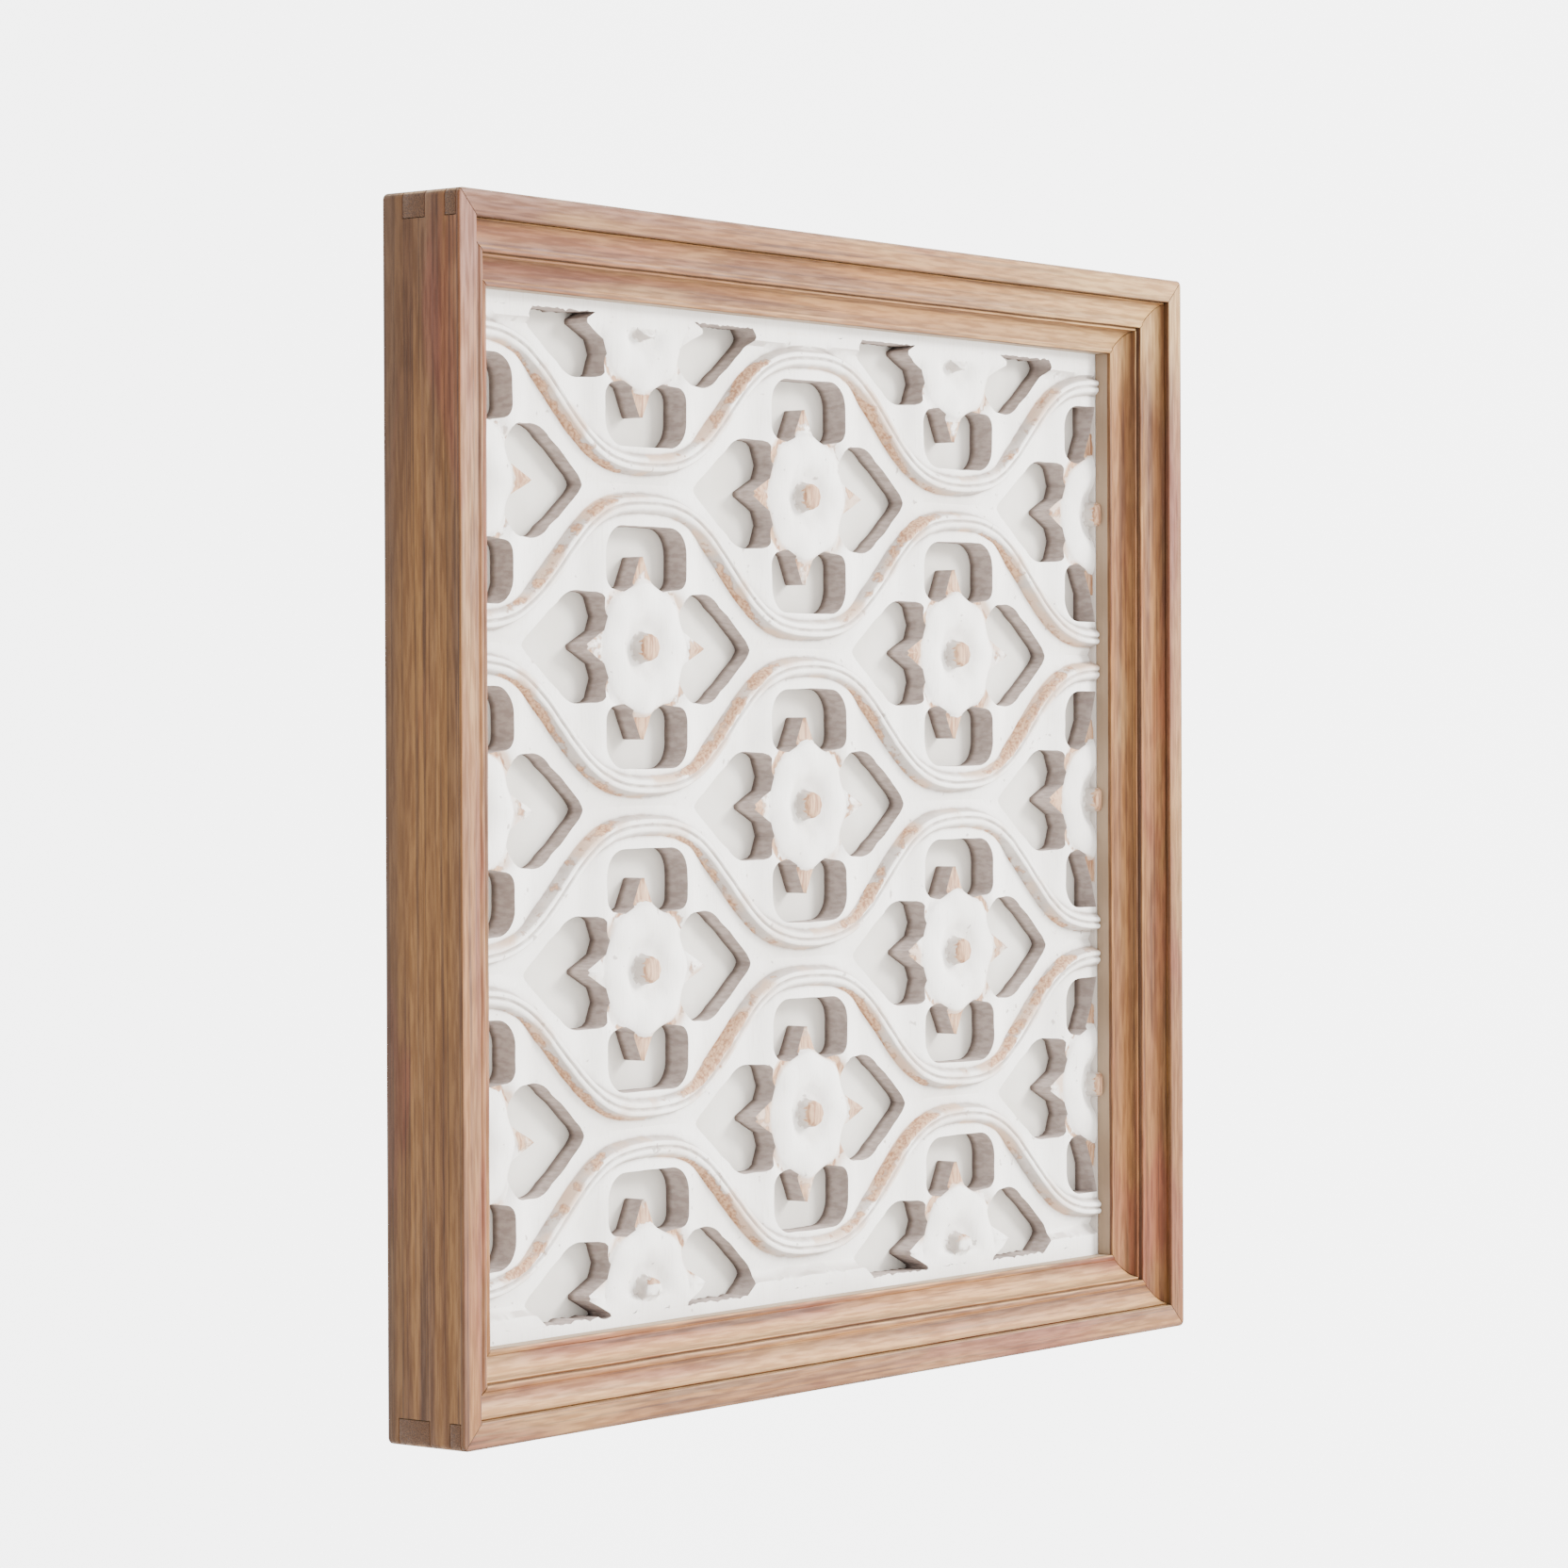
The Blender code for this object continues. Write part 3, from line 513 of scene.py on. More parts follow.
# %% Trimming at the window
# Points nearer to a cut than a sliver's width are put onto it, or they would leave splinters of faces.
# The relief starts 5 mm from the top and bottom cuts and is full 4.5 mm further in, and wear starts at
# 10 mm and is full 8 mm further in.
SLIVER = 0.05
RELIEF_FROM, RELIEF_FADE = 5.0, 4.5
WEAR_FROM, WEAR_FADE = 10.0, 8.0
half_x = SIGHT_X - SIDE_MARGIN
low_z = -(SIGHT_Z - END_MARGIN) - PATTERN_LIFT
high_z = SIGHT_Z - END_MARGIN - PATTERN_LIFT
for axis, place, out in ((0, half_x, 1), (0, -half_x, -1), (2, high_z, 1), (2, low_z, -1)):
    point, normal = Vector(), Vector()
    point[axis], normal[axis] = place, out
    everything = list(cell.verts) + list(cell.edges) + list(cell.faces)
    bmesh.ops.bisect_plane(
        cell, geom=everything, dist=0.005, plane_co=point, plane_no=normal, clear_outer=True
    )
    for vert in cell.verts:
        if abs(vert.co[axis] - place) < SLIVER:
            vert.co[axis] = place
    bmesh.ops.remove_doubles(cell, verts=cell.verts, dist=SLIVER)
for vert in cell.verts:
    inward = min(high_z - vert.co.z, vert.co.z - low_z)
    settled = smooth(0, 1, (inward - RELIEF_FROM) / RELIEF_FADE)
    vert.co.y *= settled
    vert[bare_layer] *= smooth(0, 1, (inward - WEAR_FROM) / WEAR_FADE)
    vert[shade_dirt_layer] *= settled
print("trimmed faces:", len(cell.faces))

# %% Borders under the moulding
RAG = 1.3
RAG_WIDTH = 3.2


def on_plane(axis, place):
    return [vert for vert in cell.verts if abs(vert.co[axis] - place) < 0.01]


def pull_border(axis, place, far, rag=0):
    """Joins the points along one side into a line, and pulls that line out to the panel's own edge."""
    other = 2 if axis == 0 else 0
    side = sorted(on_plane(axis, place), key=lambda vert: vert.co[other])
    edges, added = [], []
    for a, b in zip(side, side[1:]):
        edge = cell.edges.get((a, b))
        steps = 1 if edge else max(1, round((b.co - a.co).length / 2))
        chain = [a] + [cell.verts.new(a.co.lerp(b.co, n / steps)) for n in range(1, steps)] + [b]
        added += chain[1:-1]
        edges += [edge] if edge else [cell.edges.new(pair) for pair in zip(chain, chain[1:])]
    side += added
    for vert in side:
        if rag:
            vert.co[axis] += noise.noise(vert.co / RAG_WIDTH) * rag
            vert[bare_layer] = 0.3
    for step, out in ((0.05, 0), (0, far)):
        made = bmesh.ops.extrude_edge_only(cell, edges=edges)["geom"]
        edges = [item for item in made if isinstance(item, bmesh.types.BMEdge)]
        for vert in made:
            if isinstance(vert, bmesh.types.BMVert):
                vert.co[axis] = out if out else vert.co[axis] + math.copysign(step, far)
                vert.co.y = 0
                vert[bare_layer] = vert[shade_dirt_layer] = 0


outer_x = 1000 * panel_high.x
outer_z = 1000 * (panel_high.z - panel_low.z) / 2
for side in (-1, 1):
    pull_border(0, side * half_x, side * outer_x)
pull_border(2, high_z, outer_z - PATTERN_LIFT, rag=RAG)
pull_border(2, low_z, -outer_z - PATTERN_LIFT, rag=RAG)
print("with borders:", len(cell.faces))

# %% Walls and back
# Each step goes this share of the way that is still left to the back, so that no step crosses another.
WALL_STEPS = (0.3, 0.5, 0.6, 1.0)
cut_layer = cell.faces.layers.float.new("cut")
rims = [edge for edge in cell.edges if edge.is_boundary]
for share in WALL_STEPS:
    walls = bmesh.ops.extrude_edge_only(cell, edges=rims)["geom"]
    for item in walls:
        if isinstance(item, bmesh.types.BMVert):
            item.co.y += (PANEL_THICKNESS - item.co.y) * share
            item[bare_layer] = item[shade_dirt_layer] = 0
        elif isinstance(item, bmesh.types.BMFace):
            item[cut_layer] = 1
    rims = [item for item in walls if isinstance(item, bmesh.types.BMEdge)]
bmesh.ops.triangle_fill(cell, edges=rims, normal=(0, 1, 0), use_beauty=False, use_dissolve=False)
bmesh.ops.remove_doubles(cell, verts=cell.verts, dist=0.002)
bmesh.ops.recalc_face_normals(cell, faces=cell.faces)
open_edges = [edge for edge in cell.edges if not edge.is_manifold]
print("closed fret:", len(cell.faces), "faces, loose or open edges:", len(open_edges))

# %% Into the scene
def finish_mesh(bm, name, material, sharp=32):
    """Makes an object of a bmesh, smooth but for edges that turn by more than the sharp angle."""
    for face in bm.faces:
        face.smooth = True
    for edge in bm.edges:
        edge.smooth = edge.is_manifold and edge.calc_face_angle(0) < math.radians(sharp)
    mesh = bpy.data.meshes.new(name)
    bm.to_mesh(mesh)
    bm.free()
    piece = bpy.data.objects.new(name, mesh)
    bpy.context.scene.collection.objects.link(piece)
    mesh.materials.append(material)
    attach(piece, "root")
    print(name, "triangles:", sum(len(polygon.vertices) - 2 for polygon in mesh.polygons))
    return piece


# %% [markdown]
# ## Whitewash on carved wood
#
# The paint is a thin matt limewash, brushed over sanded mango wood and rubbed back. It gives the eye a
# soft chalky white with faint brush marks. Where a ridge was rubbed, or where the brush missed a low
# place, pinkish bare wood shows, with a thin dark line of dirt round it. The sawn walls took less paint
# and stay a warm grey, kept darker as painted shade. Steep slopes, grooves and the feet of slopes and walls
# are painted darker as shade, with some dirt. Attributes of the mesh say where each of these is, and noise
# breaks their edges.

# %% Limewash finish
# Wear and noise are added up. Past these sums the dark line starts, then the bare wood, and then all the
# paint is gone.
LINE_FROM, BARE_FROM, BARE_FULL = 1.94, 2.04, 2.14


def limewash(name, back):
    """Chalky paint over bare wood. The back is the Y of the board's back face."""
    material, tree, shader = new_finish(name)
    place = add(tree, "ShaderNodeTexCoord", {}, "Object")
    bare = add(tree, MARK, {}, "Fac", attribute_name="bare")
    shade_and_dirt = add(tree, MARK, {}, "Fac", attribute_name="shade_and_dirt")
    cut = add(tree, MARK, {}, "Fac", attribute_name="cut")
    normal = add(tree, "ShaderNodeNewGeometry", {}, "Normal")
    dirt_and_shade_grey = colour("8A7D75")

    # Clouds of thinner paint are 40 mm across, and brush marks are about 1 mm wide and run up the board.
    clouds = add(tree, NOISE, {"Vector": place, "Scale": 25.0, "Detail": 4.0})
    thin = add(tree, RANGE, {0: clouds, 1: 0.35, 2: 0.7}, **SOFT)
    paint = add(tree, MIX, {0: thin, 6: colour("EFECE7"), 7: colour("E3DFD9")}, **OVER)
    along = add(tree, STRETCH, {"Vector": place, "Scale": (900, 900, 70)})
    brush = add(tree, NOISE, {"Vector": along, "Scale": 1.0, "Detail": 3.0})
    marks = add(tree, RANGE, {0: brush, 1: 0.52, 2: 0.75, 4: 0.3}, **SOFT)
    paint = add(tree, MIX, {0: marks, 6: paint, 7: colour("CFC6BD")}, **OVER)

    # Painted shade: slopes that turn away from the front are greyed, for the shade on steep chisel cuts. The
    # grooves and the foot of each slope are painted darker, as shade with some dirt.
    facing = add(tree, SPLIT, {0: normal}, "Y")
    steep_painted_shade = add(tree, RANGE, {0: facing, 1: -0.86, 2: -0.55, 4: 0.6}, **SOFT)
    paint = add(tree, MIX, {0: steep_painted_shade, 6: paint, 7: colour("A69A92")}, **OVER)
    dust = add(tree, NOISE, {"Vector": place, "Scale": 150.0, "Detail": 5.0})
    patchy = add(tree, RANGE, {0: dust, 1: 0.35, 2: 0.6, 3: 0.4, 4: 0.85}, **SOFT)
    # Painted shade with some dirt, broken up by patchy noise.
    shade_smudge = add(tree, MATH, {0: shade_and_dirt, 1: patchy}, operation="MULTIPLY")
    paint = add(tree, MIX, {0: shade_smudge, 6: paint, 7: dirt_and_shade_grey}, **OVER)

    # Small nicks, from 1 to 3 mm wide, hold dirt.
    pits = add(tree, NOISE, {"Vector": place, "Scale": 170.0, "Detail": 2.0})
    nicks = add(tree, RANGE, {0: pits, 1: 0.69, 2: 0.75, 4: 0.6}, **SOFT)
    paint = add(tree, MIX, {0: nicks, 6: paint, 7: dirt_and_shade_grey}, **OVER)

    # Rubbed places are tinted pink first. Where more has gone, the wood shows, with a dark ragged line
    # about 0.5 mm wide round it: noise from 3 to 9 mm breaks the attribute up.
    wear = add(tree, NOISE, {"Vector": place, "Scale": 13.0, "Detail": 3.0})
    uneven = add(tree, RANGE, {0: wear, 1: 0.38, 2: 0.6, 3: 0.6, 4: 1.1}, **SOFT)
    worn = add(tree, MATH, {0: bare, 1: uneven}, operation="MULTIPLY")
    coarse = add(tree, NOISE, {"Vector": place, "Scale": 110.0, "Detail": 6.0})
    small = add(tree, NOISE, {"Vector": place, "Scale": 330.0, "Detail": 4.0})
    rubbed = add(tree, MATH, {0: coarse, 1: 1.7, 2: worn}, operation="MULTIPLY_ADD")
    rubbed = add(tree, MATH, {0: small, 1: 0.7, 2: rubbed}, operation="MULTIPLY_ADD")
    faint = add(tree, NOISE, {"Vector": place, "Scale": 38.0, "Detail": 5.0})
    tinted = add(tree, RANGE, {0: faint, 1: 0.38, 2: 0.62, 3: 0.1, 4: 1.2}, **SOFT)
    tinted = add(tree, MATH, {0: worn, 1: tinted}, operation="MULTIPLY")
    tinted = add(tree, RANGE, {0: tinted, 1: 0.05, 2: 0.75, 4: 0.8}, **SOFT)
    paint = add(tree, MIX, {0: tinted, 6: paint, 7: colour("C3A48B")}, **OVER)
    edge = add(tree, RANGE, {0: rubbed, 1: LINE_FROM, 2: BARE_FROM, 4: 0.6}, **SOFT)
    paint = add(tree, MIX, {0: edge, 6: paint, 7: colour("8C6C58")}, **OVER)
    fibres = add(tree, STRETCH, {"Vector": place, "Scale": (700, 700, 60)})
    grain = add(tree, NOISE, {"Vector": fibres, "Scale": 1.0, "Detail": 4.0})
    streaky = add(tree, RANGE, {0: grain, 1: 0.35, 2: 0.62}, **SOFT)
    wood = add(tree, MIX, {0: streaky, 6: colour("94694A"), 7: colour("C49E7C")}, **OVER)
    showing = add(tree, RANGE, {0: rubbed, 1: BARE_FROM, 2: BARE_FULL, 4: 0.85}, **SOFT)
    paint = add(tree, MIX, {0: showing, 6: paint, 7: wood}, **OVER)

    # The sawn walls took a thin warm grey wash, kept darker than the paint as painted shade, and their foot
    # is painted dark as a contact shadow.
    sawn = add(tree, STRETCH, {"Vector": place, "Scale": (420, 160, 420)})
    saw = add(tree, NOISE, {"Vector": sawn, "Scale": 1.0, "Detail": 4.0})
    ribbed = add(tree, RANGE, {0: saw, 1: 0.35, 2: 0.65}, **SOFT)
    wall = add(tree, MIX, {0: ribbed, 6: colour("998C86"), 7: colour("AEA19B")}, **OVER)
    depth = add(tree, SPLIT, {0: place}, "Y")
    foot_contact_shadow = add(tree, RANGE, {0: depth, 1: back - 4.8 * MM, 2: back - 0.6 * MM, 4: 0.8}, **SOFT)
    wall = add(tree, MIX, {0: foot_contact_shadow, 6: wall, 7: colour("4F423B")}, **OVER)
    whole = add(tree, MIX, {0: cut, 6: paint, 7: wall}, **OVER)
    tree.links.new(whole, shader.inputs["Base Color"])

    # Chalky paint hardly shines, and bare wood a little more.
    shine = add(tree, RANGE, {0: rubbed, 1: LINE_FROM, 2: BARE_FULL, 3: 0.9, 4: 0.68}, **SOFT)
    tree.links.new(shine, shader.inputs["Roughness"])
    shader.inputs["Specular IOR Level"].default_value = 0.3
    chalk = add(tree, NOISE, {"Vector": place, "Scale": 1400.0, "Detail": 3.0})
    rough = add(tree, MATH, {0: chalk, 1: 0.5, 2: brush}, operation="MULTIPLY_ADD")
    bumps = add(tree, "ShaderNodeBump", {"Height": rough, "Strength": 0.35, "Distance": 0.0003})
    tree.links.new(bumps, shader.inputs["Normal"])
    print(name, "nodes:", len(tree.nodes))
    return material


# %% The fret as a piece
bmesh.ops.scale(cell, vec=(MM, MM, MM), verts=cell.verts)
bmesh.ops.translate(cell, vec=(0, FIELD_Y, MIDDLE_Z), verts=cell.verts)
fret = finish_mesh(cell, "fret_carving", limewash("limewash on carved mango wood", panel_high.y))
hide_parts("carved_panel")

# %% [markdown]
# ## Limed mango wood
#
# Mango is a golden brown wood with red and dark streaks. Here it was sanded, rubbed with white wax that
# stays in the pores of the front faces, and left matt. One recipe serves all the lengths of frame and
# moulding, because they come from the same boards: only the direction of the grain turns. End grain
# drinks the finish and goes dark, and the grooves are painted dark, as shade with some dirt.

# %% What the wood is built up from
# Each noise has its streaks' width and length in mm, its detail and its twist.
GRAIN = {
    "figure": (14, 260, 3.0, 0.8),
    "clouds": (30, 140, 4.0, 0.5),
    "heartwood": (18, 110, 4.0, 0.5),
    "streaks": (2.4, 130, 5.0, 0.5),
    "pores": (0.9, 110, 3.0, 0.3),
    "wax": (12, 80, 5.0, 0.3),
    "fine": (0.9, 11, 4.0, 0.0),
}
# Each layer has its noise, where it starts and is full, its largest share and its colour.
LAYERS = [
    ("streaks", 0.40, 0.64, 0.8, "784D29"),
    ("figure", 0.44, 0.60, 0.55, "633B20"),
    ("clouds", 0.47, 0.62, 0.5, "AC7A43"),
    ("heartwood", 0.51, 0.62, 0.55, "8A4230"),
    ("pores", 0.53, 0.63, 0.58, "4A2A16"),
]
print("streaks, mm wide:", {name: shape[0] for name, shape in GRAIN.items()})

# %% Limed wood finish
JOINT_Y = cad_low.y + 1.6 * MM
JOINT_WIDTH = 0.6 * MM


def limed_wood(name, along, cast):
    """Mango wood whose grain runs along axis 0 or 2. The cast is a colour that tints the whole of it."""
    material, tree, shader = new_finish(name)
    place = add(tree, "ShaderNodeTexCoord", {}, "Object")
    normal = add(tree, "ShaderNodeNewGeometry", {}, "Normal")
    groove_shade_and_dirt = add(tree, MARK, {}, "Fac", attribute_name="groove_shade_and_dirt")
    wash = add(tree, MARK, {}, "Fac", attribute_name="wash")
    facing = add(tree, SPLIT, {0: normal}, "Y")
    to_front = add(tree, RANGE, {0: facing, 1: -0.25, 2: -0.8}, **SOFT)
    hidden = add(tree, MATH, {0: 1.0, 1: to_front}, operation="SUBTRACT")
    noises = {}
    for kind, (wide, long, detail, twist) in GRAIN.items():
        scale = [0.5 / (wide * MM)] * 3
        scale[along] = 0.5 / (long * MM)
        placed = add(tree, STRETCH, {"Vector": place, "Scale": scale})
        sockets = {"Vector": placed, "Scale": 1.0, "Detail": detail, "Distortion": twist}
        noises[kind] = add(tree, NOISE, sockets)

    # The wood itself, layer over layer on a golden ground.
    wood = colour("A37340")
    for kind, low, high, most, tone in LAYERS:
        share = add(tree, RANGE, {0: noises[kind], 1: low, 2: high, 4: most}, **SOFT)
        wood = add(tree, MIX, {0: share, 6: wood, 7: colour(tone)}, **OVER)

    # Red heartwood runs along the upper left. White wax is left on the faces to the front, most of all at
    # the upper right, and faces that look up are painted lighter, as painted light from above. Fine mottling
    # lies over everything, drawn about 1 mm wide because real pores would be lost at this distance. The other
    # faces and the flat fronts are darker.
    waxed = add(tree, RANGE, {0: noises["wax"], 1: 0.48, 2: 0.66, 4: 0.35}, **SOFT)
    right = add(tree, RANGE, {0: add(tree, SPLIT, {0: place}, "X"), 1: 0.0, 2: 0.3, 4: 0.7}, **SOFT)
    upper = add(tree, RANGE, {0: add(tree, SPLIT, {0: place}, "Z"), 1: -0.07, 2: -0.02}, **SOFT)
    waxed = add(tree, MATH, {0: right, 1: upper, 2: waxed}, operation="MULTIPLY_ADD", use_clamp=True)
    left = add(tree, RANGE, {0: add(tree, SPLIT, {0: place}, "X"), 1: -0.02, 2: -0.24, 4: 0.6}, **SOFT)
    ruddy = add(tree, MATH, {0: left, 1: upper}, operation="MULTIPLY")
    ruddy = add(tree, MATH, {0: ruddy, 1: to_front}, operation="MULTIPLY")
    wood = add(tree, MIX, {0: ruddy, 6: wood, 7: colour("744028")}, **OVER)
    waxed = add(tree, MATH, {0: waxed, 1: to_front}, operation="MULTIPLY")
    wood = add(tree, MIX, {0: waxed, 6: wood, 7: colour("CBAA7C")}, **OVER)
    # Painted light: faces that look up are lighter, as light from above falls on them.
    ledge_painted_light = add(tree, RANGE, {0: add(tree, SPLIT, {0: normal}, "Z"), 1: 0.15, 2: 0.85, 4: 0.65}, **SOFT)
    wood = add(tree, MIX, {0: ledge_painted_light, 6: wood, 7: colour("D8AF80")}, **OVER)
    mottled = add(tree, RANGE, {0: noises["fine"], 1: 0.38, 2: 0.62, 4: 0.55}, **SOFT)
    wood = add(tree, MIX, {0: mottled, 6: wood, 7: colour("B39F8A")}, blend_type="MULTIPLY", **OVER)
    wood = add(tree, MIX, {0: hidden, 6: wood, 7: colour("D8E2F2")}, blend_type="MULTIPLY", **OVER)
    flat = add(tree, RANGE, {0: facing, 1: -0.95, 2: -0.995}, **SOFT)
    wood = add(tree, MIX, {0: flat, 6: wood, 7: colour("E4E0CE")}, blend_type="MULTIPLY", **OVER)
    wood = add(tree, MIX, {0: 1.0, 6: wood, 7: colour(cast)}, blend_type="MULTIPLY", **OVER)

    # A dark joint runs 1.6 mm behind the front, and the back edge is painted darker as the shade of the wall
    # the frame hangs on.
    dark = colour("3B2417")
    depth = add(tree, SPLIT, {0: place}, "Y")
    before = add(tree, RANGE, {0: depth, 1: JOINT_Y - JOINT_WIDTH, 2: JOINT_Y, 4: 0.75}, **SOFT)
    behind = add(tree, RANGE, {0: depth, 1: JOINT_Y + JOINT_WIDTH, 2: JOINT_Y}, **SOFT)
    joint = add(tree, MATH, {0: before, 1: behind}, operation="MULTIPLY")
    joint = add(tree, MATH, {0: joint, 1: hidden}, operation="MULTIPLY")
    wood = add(tree, MIX, {0: joint, 6: wood, 7: dark}, **OVER)
    wall_painted_shade = add(tree, RANGE, {0: depth, 1: -18 * MM, 2: -1 * MM, 4: 0.6}, **SOFT)
    wall_painted_shade = add(tree, MATH, {0: wall_painted_shade, 1: hidden}, operation="MULTIPLY")
    wood = add(tree, MIX, {0: wall_painted_shade, 6: wood, 7: colour("3F2B1E")}, **OVER)

    # The grooves are painted dark, as shade with some dirt, and the arrises are painted darker too; then dark
    # end grain with 1 mm specks.
    wood = add(tree, MIX, {0: groove_shade_and_dirt, 6: wood, 7: dark}, **OVER)
    axis = add(tree, SPLIT, {0: normal}, "XYZ"[along])
    axis = add(tree, MATH, {0: axis}, operation="ABSOLUTE")
    end = add(tree, RANGE, {0: axis, 1: 0.85, 2: 0.95}, **SOFT)
    specks = add(tree, NOISE, {"Vector": place, "Scale": 1800.0, "Detail": 3.0})
    speckled = add(tree, RANGE, {0: specks, 1: 0.4, 2: 0.6}, **SOFT)
    ends = add(tree, MIX, {0: speckled, 6: colour("3A2415"), 7: colour("5E4028")}, **OVER)
    wood = add(tree, MIX, {0: end, 6: wood, 7: ends}, **OVER)

    # Limewash that strayed onto the moulding's inner wall, ending in a ragged line.
    strayed = add(tree, MATH, {0: noises["wax"], 1: 0.7, 2: wash}, operation="MULTIPLY_ADD")
    strayed = add(tree, RANGE, {0: strayed, 1: 0.77, 2: 0.91, 4: 0.8}, **SOFT)
    wood = add(tree, MIX, {0: strayed, 6: wood, 7: colour("95816B")}, **OVER)
    tree.links.new(wood, shader.inputs["Base Color"])

    # Waxed and rubbed wood has a low, soft shine that the pores break.
    shine = add(tree, RANGE, {0: noises["fine"], 1: 0.3, 2: 0.7, 3: 0.52, 4: 0.72}, **SOFT)
    tree.links.new(shine, shader.inputs["Roughness"])
    shader.inputs["Specular IOR Level"].default_value = 0.4
    rough = add(tree, MATH, {0: noises["pores"], 1: 0.6, 2: noises["streaks"]}, operation="MULTIPLY_ADD")
    bumps = add(tree, "ShaderNodeBump", {"Height": rough, "Strength": 0.3, "Distance": 0.0004})
    tree.links.new(bumps, shader.inputs["Normal"])
    print(name, "nodes:", len(tree.nodes))
    return material


WOOD = {
    "across": limed_wood("limed mango wood, grain across", 0, "ECE2CB"),
    "upright": limed_wood("limed mango wood, grain upright", 2, "EBE0C8"),
}

# %% [markdown]
# ## Frame boards
#
# The solid boards have the right shape, with their finger joints and mitred fronts, but their edges are
# knife sharp. A copy of each is merged and its edges get a small round with the bevel operator, as
# sandpaper leaves them, so that the light catches the corners.

# %% Boards with softened edges
ARRIS = 0.6
SIDES = {"top": "across", "bottom": "across", "left": "upright", "right": "upright"}


def softened_board(place, direction):
    """A frame board's copy with rounded edges, which are painted darker."""
    bm = bmesh.new()
    bm.from_mesh(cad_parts["frame_board_" + place].data)
    groove_shade_and_dirt = bm.faces.layers.float.new("groove_shade_and_dirt")
    bmesh.ops.remove_doubles(bm, verts=bm.verts, dist=0.001 * MM)
    bmesh.ops.dissolve_limit(bm, angle_limit=math.radians(1), verts=bm.verts, edges=bm.edges)
    bend = math.radians(20)
    arrises = [edge for edge in bm.edges if edge.is_manifold and edge.calc_face_angle(0) > bend]
    rounds = bmesh.ops.bevel(
        bm, geom=arrises, offset=ARRIS * MM, segments=2, profile=0.5, affect="EDGES", material=-1,
        clamp_overlap=True,
    )["faces"]
    for face in rounds:
        face[groove_shade_and_dirt] = 0.55
    bmesh.ops.recalc_face_normals(bm, faces=bm.faces)
    print(place, "board, open edges:", sum(not edge.is_manifold for edge in bm.edges))
    board = finish_mesh(bm, "board_" + place, WOOD[direction], sharp=40)
    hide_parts("frame_board_" + place)


for place, direction in SIDES.items():
    softened_board(place, direction)

# %% [markdown]
# ## Stepped moulding
#
# Each side of the moulding is one length of planed wood, mitred at both ends. A shaper cuts its section:
# a cove, a small bead, a narrow groove, a second cove and a second bead, and then the inner wall. The
# section is drawn once from a few points, filled as one face and extruded along the length. Its ends are
# slid to the mitre, and cuts along the length let it wander a little, as old shaped wood does.

# %% The section, in mm
MITRE_GAP = 0.3
MOULDING_START = 12.7


def cove(start, width, drop, steps):
    """A quarter hollow that starts straight down and ends flat."""
    turns = [math.pi / 2 * n / steps for n in range(steps + 1)]
    return [(start[0] + width * (1 - math.cos(t)), start[1] + drop * math.sin(t)) for t in turns]


# Each point has its place across, its depth, how dark its groove is painted, as shade with some dirt, and how
# much limewash it took.
outer_cove = [(x, d, 0.0, 0.0) for x, d in cove((0.6, 2.6), 10.4, 7.0, 12)]
inner_cove = [(x, d, 0.0, 0.0) for x, d in cove((15.8, 11.9), 9.6, 8.2, 12)]
SECTION = [(0.0, 29.3, 0.5, 0.0), (0.0, 3.2, 0.5, 0.0)] + outer_cove + [
    (11.25, 9.45, 0.5, 0.0), (11.6, 9.12, 0.0, 0.0), (12.3, 8.95, 0.0, 0.0), (13.1, 8.98, 0.0, 0.0),
    (13.7, 9.2, 0.0, 0.0), (14.0, 9.5, 0.3, 0.0), (14.1, 11.0, 0.7, 0.0), (14.3, 11.9, 0.7, 0.0),
    (14.8, 11.6, 0.4, 0.0), (15.3, 11.4, 0.0, 0.0), (15.7, 11.6, 0.0, 0.0),
] + inner_cove + [
    (25.6, 19.95, 0.5, 0.0), (26.0, 19.62, 0.0, 0.0), (26.8, 19.46, 0.0, 0.0), (27.6, 19.5, 0.0, 0.0),
    (28.15, 19.75, 0.0, 0.0), (28.38, 20.2, 0.3, 0.0), (28.4, 20.9, 0.5, 0.0), (28.4, 21.8, 0.1, 0.6),
    (28.4, 24.0, 0.0, 1.0), (28.4, 27.5, 0.0, 1.0), (28.4, 29.3, 0.5, 1.0),
]
print("points in the section:", len(SECTION))

# %% The four lengths
FRONT_Y = 1000 * cad_low.y
FRAME_MIDDLE = 500 * (cad_low.z + cad_high.z)
HALF_WIDTH, HALF_HEIGHT = 500 * (cad_high.x - cad_low.x), 500 * (cad_high.z - cad_low.z)
STRETCHES = 90
WANDER = ((0.18, 28), (0.10, 6))
# The moulding doesn't wander within 13 mm of the frame's outside or more than 25 mm behind its front, and
# its inner wall, from 41 mm in, doesn't move sideways.
STILL_OUT, STILL_BACK, STILL_IN = 13, 25, 41


